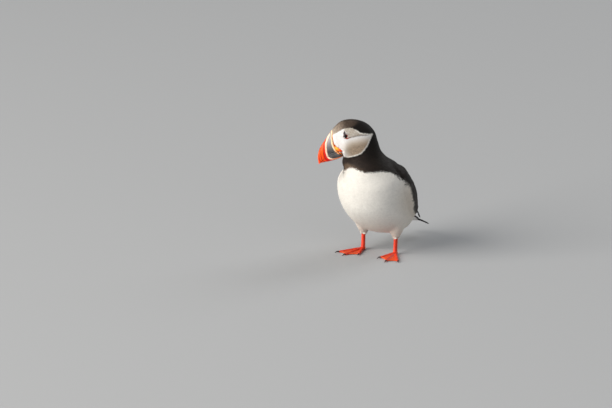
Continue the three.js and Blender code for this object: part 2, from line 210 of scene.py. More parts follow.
def linear(hex_colour: str) -> Array:
    """An sRGB hex colour as linear red, green and blue."""
    srgb = np.array([int(hex_colour[i : i + 2], 16) / 255 for i in (0, 2, 4)])
    return np.where(srgb <= 0.04045, srgb / 12.92, ((srgb + 0.055) / 1.055) ** 2.4)


def over(base: Array | str, top: Array | str, share: Array) -> Array:
    """A colour with another over it, by a share at each place. Either may be sRGB hex."""
    base, top = (linear(colour) if isinstance(colour, str) else colour for colour in (base, top))
    return mix(base, top, share[:, None])


# ---- the body's form


@dataclass(frozen=True)
class Station:
    """A cross-section of the body, which stands across its mid-plane from back to front."""

    back: Pair
    front: Pair
    half: float
    full: float
    low: float
    turn: float


class Frame:
    """A frame within the bird's own: its centre, and its three axes as rows."""

    centre: Array
    axes: Array

    def inside(self, points: Array) -> Array:
        """Points of the bird's frame, in this one."""
        return (points - self.centre) @ self.axes.T

    def outside(self, places: Array) -> Array:
        """Places of this frame, in the bird's."""
        return places @ self.axes + self.centre


@dataclass
class HeadFrame(Frame):
    """The head's own frame, turned by the neck and drooping at the bill."""

    neck_forward: float = 31.5
    turn: float = math.radians(60)
    droop: float = math.radians(30)
    aside: float = 10.0
    eye_ahead: float = 20.9
    eye_height: float = 169.4

    def __post_init__(self) -> None:
        """Works out the frame's centre, and its axes: ahead, above and aside."""
        s, c = math.sin(self.turn), math.cos(self.turn)
        sd, cd = math.sin(self.droop), math.cos(self.droop)
        x, y = -self.aside - self.eye_ahead * s, -self.neck_forward - self.eye_ahead * c
        self.centre = np.array([x, y, self.eye_height])
        self.axes = np.array([[-s * cd, -c * cd, -sd], [-s * sd, -c * sd, cd], [c, -s, 0.0]])

    def in_plane(self, place: Pair) -> Pair:
        """[ahead, above] as [forward, up] in the mid-plane, before the neck turns.

        Args:
            place: Of the head's frame.

        Returns:
            The place.
        """
        ahead, above = place
        forward = self.neck_forward + self.eye_ahead
        forward += ahead * math.cos(self.droop) + above * math.sin(self.droop)
        return forward, self.eye_height - ahead * math.sin(self.droop) + above * math.cos(self.droop)


HEAD = HeadFrame()
BILL_TOP: Pair = (15.0, 11.7)
BILL_CHIN: Pair = (18.1, -25.3)
BILL_TIP: Pair = (51.2, -19.5)
EYE_ASIDE = 13.8
EYE_RADIUS = 4.5

STATIONS = (
    Station((-73, 42), (-61, 29), 13, 2.2, 0, 0),
    Station((-63, 60), (-38, 26.5), 25.5, 2.2, 0.06, 0),
    Station((-53.5, 79), (-9, 25.5), 37.5, 2.2, 0.1, 0),
    Station((-41.5, 98.5), (23.5, 38), 44, 2.15, 0.06, 0),
    Station((-25.5, 114.2), (52.5, 65), 46.8, 2.05, 0.02, 0),
    Station((-11.5, 127.3), (63.5, 94), 43, 2.1, 0, 0.03),
    Station((1, 136), (63, 113.5), 29, 2.05, 0, 0.24),
    Station((8, 146), (58, 123), 22.6, 2, 0, 0.62),
    Station((9.8, 157.8), (56.8, 128.4), 21.8, 2, 0, 0.93),
    Station((13.3, 170.6), (56.4, 131), 21.6, 2.05, 0.08, 1),
    Station((22.3, 181.3), (56.1, 132.8), 21, 2.05, 0.14, 1),
    Station((34.5, 186.8), (55.7, 134.2), 20.4, 2.1, 0.2, 1),
    Station((48, 188), (55.3, 135.4), 19.6, 2.1, 0.25, 1),
    Station((58.7, 185), (54.9, 136.5), 17.4, 2.1, 0.25, 1),
    Station((66.4, 178.4), (54.5, 137.4), 13.4, 2.15, 0.15, 1),
    Station(HEAD.in_plane(BILL_TOP), HEAD.in_plane(BILL_CHIN), 8.6, 2.3, 0.05, 1),
)


class BodyForm:
    """The body's outer form, as one surface of two numbers: station, and angle round from the back."""

    samples_per_station: int = 18
    samples_round: int = 180

    def __init__(self, stations: Sequence[Station]) -> None:
        """Lays out the surface's samples.

        Args:
            stations: From the tail's root to the bill's base.
        """
        self.table = np.array([[*s.back, *s.front, s.half, s.full, s.low, s.turn] for s in stations])
        self.last = len(stations) - 1
        count = self.last * self.samples_per_station + 1
        station, angle = np.meshgrid(
            np.linspace(0, self.last, count),
            np.arange(self.samples_round) * TAU / self.samples_round,
            indexing="ij",
        )
        self.stations, self.angles = station.ravel(), angle.ravel()
        places = self.point(self.stations, self.angles)
        self.tree = KDTree(len(places))
        for i, place in enumerate(places.tolist()):
            self.tree.insert(place, i)
        self.tree.balance()

    def point(self, station: Array, angle: Array, swell: Array | float = 0.0) -> Array:
        """Points of the surface.

        Args:
            station: Along the body.
            angle: Round it, in radians, from the back over the left side.
            swell: How far outwards of the surface.

        Returns:
            Points of the bird's frame.
        """
        row = catmull(self.table, station)
        back, front, half = row[..., 0:2], row[..., 2:4], row[..., 4]
        full, low, share = row[..., 5], row[..., 6], np.clip(row[..., 7], 0, 1)
        along = signed_power(np.cos(angle), 2 / full)
        across = signed_power(np.sin(angle), 2 / full) * (half + swell)
        reach = (back - front) / 2
        grown = 1 + swell / np.linalg.norm(reach, axis=-1)
        place = along * grown - low * (1 - along * along)
        middle = (back + front) / 2 + reach * place[..., None]
        turn = HEAD.turn * share
        ahead = middle[..., 0] - HEAD.neck_forward
        x = across * np.cos(turn) - ahead * np.sin(turn) - HEAD.aside * share
        y = -(HEAD.neck_forward + ahead * np.cos(turn) + across * np.sin(turn))
        return np.stack([x, y, middle[..., 1]], -1)

    def locate(self, points: Array) -> tuple[Array, Array]:
        """The station and angle nearest to each point.

        Args:
            points: N by 3.

        Returns:
            N stations and N angles.
        """
        near = np.array([self.tree.find(p)[1] for p in points.tolist()])
        station, angle = self.stations[near], self.angles[near]
        step = 0.02
        here = self.point(station, angle)
        along = (self.point(station + step, angle) - self.point(station - step, angle)) / (2 * step)
        around = (self.point(station, angle + step) - self.point(station, angle - step)) / (2 * step)
        off, most_turn = points - here, 0.04
        aa, bb, ab = (along**2).sum(-1), (around**2).sum(-1), (along * around).sum(-1)
        oa, ob = (off * along).sum(-1), (off * around).sum(-1)
        whole = np.maximum(aa * bb - ab**2, 1e-6)
        most = 1 / self.samples_per_station
        station = station + np.clip((oa * bb - ob * ab) / whole, -most, most)
        angle = angle + np.clip((ob * aa - oa * ab) / whole, -most_turn, most_turn)
        return np.clip(station, 0, self.last), angle % TAU

    def lie(self, station: Array, angle: Array) -> Array:
        """Which way the coat lies: from the bill towards the tail."""
        back = self.point(np.maximum(station - 0.25, 0), angle)
        return unit(back - self.point(np.minimum(station + 0.05, self.last), angle))


FORM = BodyForm(STATIONS)


class EyeSeat(Frame):
    """Where an eye sits. Its own places are [ahead, above, out] from the eyeball's centre."""

    look: tuple[float, float, float] = (0.05, -0.03, 1.0)

    def __init__(self, side: int) -> None:
        """Works out the seat on one side: 1 for the left, -1 for the right."""
        out = unit(np.array(self.look) * np.array([1, 1, side]))
        ahead = unit(np.array([1.0, 0, 0]) - out * out[0])
        above = np.cross(out, ahead) * side
        self.centre = HEAD.outside(np.array([0.0, 0.0, side * EYE_ASIDE]))
        self.axes = np.stack([ahead, above, out]) @ HEAD.axes


EYE_SEATS = {1: EyeSeat(1), -1: EyeSeat(-1)}


def carry() -> Array:
    """The step from the bird's frame to the row's, in millimetres, read from the left eye's node."""
    low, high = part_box("eye_left")
    centre = np.array((low + high) / 2) / MM
    return centre - HEAD.outside(np.array([0.0, 0.0, EYE_ASIDE]))


SHIFT = carry()


def to_row(points: Array) -> Array:
    """Points of the bird's frame, in metres of the row's frame."""
    return (points + SHIFT) * MM


def from_row(points: Array) -> Array:
    """Points of the row's frame, in millimetres of the bird's frame."""
    return points / MM - SHIFT


# ---- markings


class Tint(str, Enum):
    """The plumage's colours, as sRGB hex."""

    WHITE = "F6F3EC"
    # painted shade: the beige-grey laid over the white plumage on the flanks and low on the body
    PAINTED_SHADE = "CDC1B0"
    FACE = "ECEAE9"
    # the cheek's own grey, browned partly as painted shade
    CHEEK = "C4B4A0"
    # painted shade: the darker grey-brown low at the back of the cheek
    JOWL_SHADE = "96826C"
    TEMPLE = "B2A695"
    RIM = "F4F0E8"
    # the fleshy skin at the mouth's corner, darkened as painted shade in its fold
    GAPE_SKIN_AND_SHADE = "6E3A24"
    FURROW = "6E645B"
    # the forehead's own grey-brown, lightened partly as painted light, as is the paler brow after it
    BROW = "B4A595"
    TAUPE = "8E7E70"
    CAP = "52453C"
    COLLAR = "312823"
    THROAT = "7C6755"
    BLACK = "181412"
    WORN = "33291F"
    QUILL = "120F0E"


@dataclass(frozen=True)
class Markings:
    """Where the plumage changes colour. Skin and coat both ask here.

    The face's outline, furrow and fold are [ahead, above] of the eyes. The collar's lower edge is the
    station at each angle, and the mantle's edge is the angle at each station, with angles in degrees.
    """

    face: Line = (
        (30, 4), (20, 7), (13.6, 7.6), (11.4, 7.9), (6.2, 8.4), (0.3, 8.8), (-4.7, 8.2), (-9.1, 6.5),
        (-12.5, 4.4), (-15.2, 1), (-17.7, -2.9), (-18.8, -5.9), (-21.5, -8.4), (-25, -11.3),
        (-27.7, -13.8), (-32.5, -16.8), (-26.2, -20.8), (-19.5, -25.2), (-13.1, -28.2), (-6.8, -29.8),
        (-1.4, -29.4), (6.5, -27.8), (12.8, -26.3), (14.9, -23.9), (22, -26), (30, -22),
    )
    furrow: Line = (
        (-3.4, -3.9), (-8.8, -6), (-12.8, -7.1), (-18.5, -9.4), (-24, -12.9), (-27.3, -14.4),
        (-30.6, -15.6),
    )
    gape_fold: Line = ((18.8, -14.6), (17, -19.4), (16.8, -23.4))
    collar_angles: tuple[float, ...] = (
        0, 60, 79, 88, 99, 110, 122, 130, 138, 150, 165, 180, 195, 210, 235, 262, 278, 360,
    )
    collar_stations: tuple[float, ...] = (
        4.6, 4.9, 5.35, 5.83, 6.05, 6.2, 6.35, 6.85, 7.25, 7.3, 7.15, 6.95, 6.72, 6.53, 6.25, 5.95,
        5.5, 4.6,
    )
    mantle_stations: tuple[float, ...] = (0, 1, 2, 2.75, 3.2, 3.5, 4.05, 4.6, 5, 5.4, 6)
    mantle_angles: tuple[float, ...] = (72, 80, 88, 86, 81, 77, 75, 78, 82, 84, 84)

    def collar_edge(self, angle: Array) -> Array:
        """The collar's lower edge, as a station."""
        return np.interp(np.degrees(angle), self.collar_angles, self.collar_stations)

    def mantle_edge(self, station: Array) -> Array:
        """The mantle's lower edge, in degrees down from the back."""
        return np.interp(station, self.mantle_stations, self.mantle_angles)

    def face_share(self, places: Array) -> Array:
        """How far places of the head's frame are in the pale face, from 0 to 1."""
        inside = depth_inside(places[:, :2], self.face)
        return ease(inside, -0.35, 0.35) * ease(np.abs(places[:, 2]), 4.5, 6.5)

    def dark_share(self, points: Array, station: Array, angle: Array) -> Array:
        """How dark the plumage is off the face: 1 on the cap, collar and mantle, 0 on breast and belly.

        Args:
            points: N by 3.
            station: Their stations.
            angle: Their angles.

        Returns:
            N shares.
        """
        degrees = np.degrees(angle)
        fringe = wobble(points, 9, 3)
        collar = ease(station - self.collar_edge(angle) - 0.05 * fringe, -0.07, 0.07)
        side = np.minimum(degrees, 360 - degrees)
        back = ease(self.mantle_edge(station) - side + 1.4 * fringe, -1.6, 1.6)
        leg = ease(points[:, 2], 37, 32) * ease(points[:, 1], 42, 36)
        return np.maximum(collar, back * (1 - leg))

    def colours(self, points: Array, station: Array, angle: Array) -> Array:
        """The plumage's colour at points of the bird's frame.

        Args:
            points: N by 3, in millimetres.
            station: Each one's station along the body.
            angle: Each one's angle round it.

        Returns:
            N by 3, linear.
        """
        places = HEAD.inside(points)
        ahead, above = places[:, :2].T
        side = from_back(angle)
        # Painted shade: the white plumage is tinted beige-grey on both flanks and low on the body, where
        # shade falls.
        shaded = ease(side, 2.3, 1.5) * ease(station, 5.2, 3.5)
        low = ease(points[:, 2], 70, 30)
        light = over(Tint.WHITE, Tint.PAINTED_SHADE, 0.75 * np.maximum(shaded, 0.7 * low))
        tone = 0.5 + 0.5 * wobble(points, 16, 5)
        brown = (0.25 + 0.35 * tone) * ease(station, 9.5, 6.5) + 0.35 * tone * ease(station, 3.5, 1.5)
        dark = over(Tint.BLACK, Tint.WORN, 0.6 * brown)
        dark = over(dark, Tint.COLLAR, ease(station, 5.6, 6.6) * ease(side, 1, 2.2))
        rise = station - self.collar_edge(angle)
        throat = ease(rise, 1.3, 0.15) * ease(side, 1.9, 2.7) * ease(station, 5.8, 6.4)
        dark = over(dark, Tint.THROAT, 0.85 * throat)
        dark = over(dark, Tint.CAP, ease(above, 3, 8) * ease(ahead, -32, -14))
        # The forehead's own grey-brown, lightened towards the bill partly as painted light.
        brow = ease(ahead + 0.18 * above, -7, 4.5) * ease(above, 2, 7)
        dark = over(dark, Tint.TAUPE, brow * (0.88 + 0.12 * wobble(points, 3.2, 8)))
        dark = over(dark, Tint.BROW, ease(ahead, 0, 12) * ease(above, 2, 7))
        colour = over(light, dark, self.dark_share(points, station, angle))
        return over(colour, self.face_colours(places), self.face_share(places))

    def face_colours(self, places: Array) -> Array:
        """The pale face's own colours, at places of the head's frame.

        Args:
            places: N by 3.

        Returns:
            N by 3, linear.
        """
        flat = places[:, :2]
        ahead, above = flat.T
        line = np.interp(-ahead, [-p[0] for p in self.furrow], [p[1] for p in self.furrow])
        rise = above - line
        # Below the furrow the face is the cheek's grey-brown, partly its own colour and partly painted
        # shade, and darker still low at the back of the cheek, which is painted shade.
        cheek = over(Tint.FACE, Tint.CHEEK, 0.9 * ease(-ahead, -18, 0) * ease(-rise, 0.5, 10))
        cheek = over(cheek, Tint.JOWL_SHADE, 0.8 * ease(-ahead, -17, -3) * ease(-rise, 7, 15))
        mottle = 0.8 + 0.2 * wobble(places, 2.6, 4)
        temple = over(Tint.FACE, Tint.TEMPLE, ease(-ahead, 0.5, 4.5) * mottle)
        colour = over(cheek, temple, ease(rise, -0.3, 0.6))
        inside = depth_inside(flat, self.face)
        colour = over(colour, Tint.RIM, ease(inside, 1.6, 0.9) * ease(ahead, 12, 8) * ease(above, 2, -2))
        furrow = bump_at(line_distance(flat, self.furrow), 0.75) * ease(inside, 0.6, 2)
        colour = over(colour, Tint.FURROW, 0.8 * furrow)
        # The gape's fold is painted dark orange-brown: its fleshy skin, with painted shade in the fold.
        return over(colour, Tint.GAPE_SKIN_AND_SHADE, ease(line_distance(flat, self.gape_fold), 1.5, 0.8))


MARKINGS = Markings()


# ---- finishes


class Finish:
    """A material as nodes round one Principled shader."""

    def __init__(self, name: str, **settings: object) -> None:
        """Starts the material.

        Args:
            name: Its name.
            settings: Values of the shader's sockets, by their names with underscores.
        """
        self.material = bpy.data.materials.new(name)
        self.material.use_nodes = True
        self.tree = self.material.node_tree
        self.shader = self.tree.nodes["Principled BSDF"]
        for key, value in settings.items():
            self.shader.inputs[key.replace("_", " ")].default_value = value

    def node(
        self, kind: str, links: dict[str | int, object] | None = None, **settings: object
    ) -> bpy.types.Node:
        """Adds a node.

        Args:
            kind: The node's type, without its ShaderNode prefix.
            links: What each input takes: a socket, or a value.
            settings: The node's own settings.

        Returns:
            The node.
        """
        made = self.tree.nodes.new("ShaderNode" + kind)
        for key, value in settings.items():
            setattr(made, key, value)
        for key, value in (links or {}).items():
            if isinstance(value, bpy.types.NodeSocket):
                self.tree.links.new(value, made.inputs[key])
            else:
                made.inputs[key].default_value = value
        return made

    def wire(self, source: bpy.types.NodeSocket, socket: str) -> None:
        """Links a socket to the shader's own."""
        self.tree.links.new(source, self.shader.inputs[socket])

    def marked(self, pattern: bpy.types.NodeSocket, reach: Pair, tone: Pair) -> None:
        """Wears the marking that each place carries, darkened where a pattern is low.

        Args:
            pattern: The pattern.
            reach: Its values where the marking is darkest and lightest.
            tone: How light the marking is there, of 1.
        """
        colour = self.node("Attribute", attribute_name="Marking").outputs["Color"]
        levels = {0: pattern, 1: reach[0], 2: reach[1], 3: tone[0], 4: tone[1]}
        grey = self.node("MapRange", levels).outputs[0]
        tinted = self.node("Mix", {0: 1.0, 6: colour, 7: grey}, data_type="RGBA", blend_type="MULTIPLY")
        self.wire(tinted.outputs[2], "Base Color")


WAVES_PER_UNIT = 20  # a wave texture's own bands at a scale of 1, times a full turn


@dataclass(frozen=True)
class Plumage:
    """Contour feathers, grown: matt keratin barbs that scatter light, with a faint sheen on their edges."""

    name: str
    slot: str
    roughness: float
    sheen: float
    barb_mm: float = 0.45  # a real barb is near 0.1 apart, and is drawn coarser so that it shows
    gloss: float = 0.2

    def make(self) -> Material:
        """Builds the material, whose colour is the marking that each feather carries.

        Returns:
            The material.
        """
        finish = Finish(
            self.name, Roughness=self.roughness, Sheen_Weight=self.sheen, Sheen_Roughness=0.5, IOR=1.54,
            Specular_IOR_Level=self.gloss,
        )
        place = finish.node("UVMap", uv_map="Vane").outputs[0]
        scale = 1 / (self.barb_mm * WAVES_PER_UNIT / TAU)
        barbs = finish.node(
            "TexWave", {"Vector": place, "Scale": scale, "Distortion": 2.0, "Detail": 2.0},
            bands_direction="DIAGONAL",
        ).outputs["Fac"]
        fleck = finish.node("TexNoise", {"Vector": place, "Scale": 0.9, "Detail": 3.0}).outputs["Fac"]
        tone = finish.node("Math", {0: barbs, 1: 0.35}, operation="MULTIPLY").outputs[0]
        both = finish.node("Math", {0: tone, 1: fleck}, operation="ADD").outputs[0]
        finish.marked(both, (0.25, 0.95), (0.9, 1.0))
        ribbed = finish.node("Bump", {"Height": barbs, "Distance": 0.03 * MM, "Strength": 0.35})
        finish.wire(ribbed.outputs[0], "Normal")
        return finish.material


@dataclass(frozen=True)
class SkinTone:
    """The skin under the feathers, cured leather tinted as the down that grows on it."""

    name: str = "cured_skin"

    def make(self) -> Material:
        """Builds the material, whose colour is the marking at each place.

        Returns:
            The material.
        """
        finish = Finish(self.name, Roughness=0.8, Sheen_Weight=0.2, IOR=1.5, Specular_IOR_Level=0.2)
        place = finish.node("TexCoord").outputs["Object"]
        down = finish.node("TexNoise", {"Vector": place, "Scale": 1400.0, "Detail": 4.0}).outputs["Fac"]
        finish.marked(down, (0.3, 0.7), (0.8, 0.98))
        woolly = finish.node("Bump", {"Height": down, "Distance": 0.25 * MM, "Strength": 0.7})
        finish.wire(woolly.outputs[0], "Normal")
        return finish.material


# ---- meshes from arrays


@dataclass
class Sheet:
    """A mesh as arrays: places in millimetres, triangles, and what each place carries."""

    places: Array
    triangles: Array
    colours: Array | None = None
    bake: Array | None = None
    vane: Array | None = None
    normals: Array | None = None

    def mesh(self, name: str) -> Mesh:
        """Builds the mesh in the row's frame.

        Args:
            name: Its name.

        Returns:
            The mesh.
        """
        mesh = bpy.data.meshes.new(name)
        mesh.vertices.add(len(self.places))
        mesh.vertices.foreach_set("co", to_row(self.places).astype(np.float32).ravel())
        count = len(self.triangles)
        mesh.loops.add(3 * count)
        mesh.polygons.add(count)
        mesh.loops.foreach_set("vertex_index", self.triangles.astype(np.int32).ravel())
        mesh.polygons.foreach_set("loop_start", np.arange(0, 3 * count, 3, dtype=np.int32))
        mesh.polygons.foreach_set("use_smooth", np.ones(count, bool))
        mesh.update(calc_edges=True)
        corners = self.triangles.ravel()
        for label, values in (("OFBake", self.bake), ("Vane", self.vane)):
            if values is not None:
                layer = mesh.uv_layers.new(name=label)
                layer.uv.foreach_set("vector", values[corners].astype(np.float32).ravel())
        if self.colours is not None:
            paint(mesh, self.colours)
        if self.normals is not None:
            mesh.normals_split_custom_set_from_vertices(self.normals.tolist())
        return mesh


def paint(mesh: Mesh, colours: Array) -> None:
    """Gives each vertex its marking."""
    layer = mesh.color_attributes.new("Marking", "FLOAT_COLOR", "POINT")
    whole = np.ones((len(colours), 4), np.float32)
    whole[:, :3] = colours
    layer.data.foreach_set("color", whole.ravel())


def placed(name: str, data: bpy.types.ID) -> Piece:
    """Adds an object to the scene."""
    made = bpy.data.objects.new(name, data)
    bpy.context.scene.collection.objects.link(made)
    return made


def piece(name: str, mesh: Mesh, material: Material) -> Piece:
    """Makes a finished, smooth-shaded object that rides on the body.

    Args:
        name: The piece's name.
        mesh: Its mesh, in place.
        material: What it wears.

    Returns:
        The object.
    """
    made = placed(name, mesh)
    mesh.polygons.foreach_set("use_smooth", np.ones(len(mesh.polygons), bool))
    mesh.materials.clear()
    mesh.materials.append(material)
    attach(made, BODY)
    mesh.calc_loop_triangles()
    LOG.info("%s: %d triangles", name, len(mesh.loop_triangles))
    return made


def read_mesh(mesh: Mesh) -> tuple[Array, Array, Array]:
    """A mesh's places and normals in the bird's frame, in millimetres, and its triangles.

    Args:
        mesh: The mesh.

    Returns:
        Places, normals and triangles.
    """
    count = len(mesh.vertices)
    places, normals = np.empty(3 * count, np.float32), np.empty(3 * count, np.float32)
    mesh.vertices.foreach_get("co", places)
    mesh.vertex_normals.foreach_get("vector", normals)
    mesh.calc_loop_triangles()
    triangles = np.empty(3 * len(mesh.loop_triangles), np.int32)
    mesh.loop_triangles.foreach_get("vertices", triangles)
    return from_row(places.reshape(-1, 3).astype(float)), normals.reshape(-1, 3), triangles.reshape(-1, 3)


def normals_of(places: Array, triangles: Array) -> Array:
    """Smooth normals at a surface's places.

    Args:
        places: N by 3.
        triangles: Its triangles.

    Returns:
        N normals.
    """
    a, b, c = (places[triangles[:, k]] for k in range(3))
    faces = np.cross(b - a, c - a)
    total = np.zeros_like(places)
    for k in range(3):
        np.add.at(total, triangles[:, k], faces)
    return unit(total)


def write_places(mesh: Mesh, places: Array) -> None:
    """Moves a mesh's vertices to places of the bird's frame."""
    mesh.vertices.foreach_set("co", to_row(places).astype(np.float32).ravel())
    mesh.update()


# ---- forms


def node_form(name: str) -> Form:
    """A CAD node's shape, with its doubles merged."""
    shape = bmesh.new()
    shape.from_mesh(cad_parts[name].data)
    bmesh.ops.remove_doubles(shape, verts=shape.verts, dist=DOUBLE)
    return shape


def form_places(shape: Form) -> Array:
    """A form's vertices as they stand."""
    return np.array([v.co for v in shape.verts])


def put(shape: Form, places: Array) -> None:
    """Moves a form's vertices to places of the bird's frame."""
    for vert, place in zip(shape.verts, to_row(places).tolist()):
        vert.co = place


def as_mesh(name: str, shape: Form) -> Mesh:
    """A form as a mesh. The form is freed."""
    mesh = bpy.data.meshes.new(name)
    shape.to_mesh(mesh)
    shape.free()
    return mesh


def add_form(whole: Form, part: Form) -> None:
    """Adds a form to another, and frees it."""
    step = as_mesh("part", part)
    whole.from_mesh(step)
    bpy.data.meshes.remove(step)


def one_skin(name: str, whole: Form, voxel: float, smoothing: int = 0) -> Mesh:
    """Closed forms that overlap, remeshed as one closed skin of even squares.

    Args:
        name: The mesh's name.
        whole: The forms.
        voxel: The squares' size in millimetres.
        smoothing: How many times it is smoothed.

    Returns:
        The skin.
    """
    made = placed(name, as_mesh(name, whole))
    remesh = made.modifiers.new("one skin", "REMESH")
    remesh.mode = "VOXEL"
    remesh.voxel_size = voxel * MM
    if smoothing:
        smooth = made.modifiers.new("smooth", "SMOOTH")
        smooth.factor, smooth.iterations = 0.5, smoothing
    graph = bpy.context.evaluated_depsgraph_get()
    mesh = bpy.data.meshes.new_from_object(made.evaluated_get(graph))
    bpy.data.objects.remove(made)
    return mesh


def grid_solid(rows: int, columns: int, shape: Callable[[Array, Array], Array]) -> Form:
    """A closed form bent from a grid, joined along its sides and drawn together at both ends.

    Args:
        rows: Steps from end to end.
        columns: Steps round it.
        shape: Gives the places, in the bird's frame, at shares along and round.

    Returns:
        The form, in the row's frame.
    """
    made = bmesh.new()
    bmesh.ops.create_grid(made, x_segments=columns, y_segments=rows, size=0.5)
    flat = form_places(made)
    put(made, shape(flat[:, 1] + 0.5, flat[:, 0] + 0.5))
    bmesh.ops.remove_doubles(made, verts=made.verts, dist=2 * DOUBLE)
    bmesh.ops.holes_fill(made, edges=[e for e in made.edges if e.is_boundary])
    bmesh.ops.recalc_face_normals(made, faces=made.faces)
    return made


def finished(name: str, shape: Form, finish: Material) -> Piece:
    """Makes a piece of a form, whose faces are turned outwards. The form is freed."""
    bmesh.ops.recalc_face_normals(shape, faces=shape.faces)
    return piece(name, as_mesh(name, shape), finish)


class Ground:
    """A surface that feathers are laid on."""

    def __init__(self, places: Array, normals: Array, triangles: Array) -> None:
        """Indexes the surface's triangles."""
        self.places, self.normals, self.triangles = places, normals, triangles
        self.tree = BVHTree.FromPolygons(places.tolist(), triangles.tolist())

    def rest(self, points: Array) -> tuple[Array, Array]:
        """The nearest places of the surface to some points, and its smooth normals there.

        Args:
            points: N by 3.

        Returns:
            N places and N normals.
        """
        found = [self.tree.find_nearest(p) for p in points.tolist()]
        at = np.array([tuple(f[0]) for f in found])
        corners = self.triangles[np.array([f[2] for f in found])]
        a, b, c = (self.places[corners[:, k]] for k in range(3))
        ab, ac, ap = b - a, c - a, at - a
        d00, d01, d11 = dot(ab, ab), dot(ab, ac), dot(ac, ac)
        d20, d21 = dot(ap, ab), dot(ap, ac)
        whole = np.maximum(d00 * d11 - d01**2, 1e-12)
        v, w = (d11 * d20 - d01 * d21) / whole, (d00 * d21 - d01 * d20) / whole
        na, nb, nc = (self.normals[corners[:, k]] for k in range(3))
        return at, unit(na * (1 - v - w) + nb * v + nc * w)

    def seen(self, points: Array, way: Array) -> tuple[Array, Array]:
        """Where lines from some points along one way first meet the surface, and its normals there.

        Args:
            points: N by 3.
            way: Which way the lines run.

        Returns:
            N places and N normals.
        """
        hits = [self.tree.ray_cast(p, way.tolist())[0] for p in points.tolist()]
        reach = np.array([tuple(p if hit is None else hit) for hit, p in zip(hits, points.tolist())])
        return self.rest(reach)

    def scatter(self, density: Callable[[Array], Array], rng: Random) -> Array:
        """Even random places, no two nearer than the spacing there.

        Args:
            density: Gives the spacing in millimetres at N points, and 0 where none may stand.
            rng: The random draws.

        Returns:
            The places.
        """
        a, b, c = (self.places[self.triangles[:, k]] for k in range(3))
        area = span(np.cross(b - a, c - a)) / 2
        spacing = density((a + b + c) / 3)
        wanted = np.where(spacing > 0, 4.5 * area / np.maximum(spacing, 0.2) ** 2, 0)
        count = np.floor(wanted + rng.random(len(wanted))).astype(int)
        pick = np.repeat(np.arange(len(area)), count)
        u, v = rng.random(len(pick)), rng.random(len(pick))
        over = u + v > 1
        u, v = np.where(over, 1 - u, u)[:, None], np.where(over, 1 - v, v)[:, None]
        places = a[pick] + (b - a)[pick] * u + (c - a)[pick] * v
        order = rng.permutation(len(places))
        places, gaps = places[order], spacing[pick][order]
        return places[thinned(places, gaps)]


def thinned(places: Array, gaps: Array) -> Array:
    """Drops each place that lies too near an earlier one.

    Args:
        places: N by 3.
        gaps: The least distance at each.

    Returns:
        The numbers of those kept.
    """
    cell = float(gaps.max()) if len(gaps) else 1.0
    keys = np.floor(places / cell).astype(int).tolist()
    kept: list[int] = []
    cells: dict[tuple[int, int, int], list[tuple[float, float, float]]] = {}
    steps = [(i, j, k) for i in (-1, 0, 1) for j in (-1, 0, 1) for k in (-1, 0, 1)]
    for n, ((x, y, z), (i, j, k), gap) in enumerate(zip(places.tolist(), keys, gaps.tolist())):
        least = gap * gap
        free = True
        for di, dj, dk in steps:
            for px, py, pz in cells.get((i + di, j + dj, k + dk), ()):
                if (px - x) ** 2 + (py - y) ** 2 + (pz - z) ** 2 < least:
                    free = False
                    break
            if not free:
                break
        if free:
            cells.setdefault((i, j, k), []).append((x, y, z))
            kept.append(n)
    return np.array(kept, int)


# ---- skin


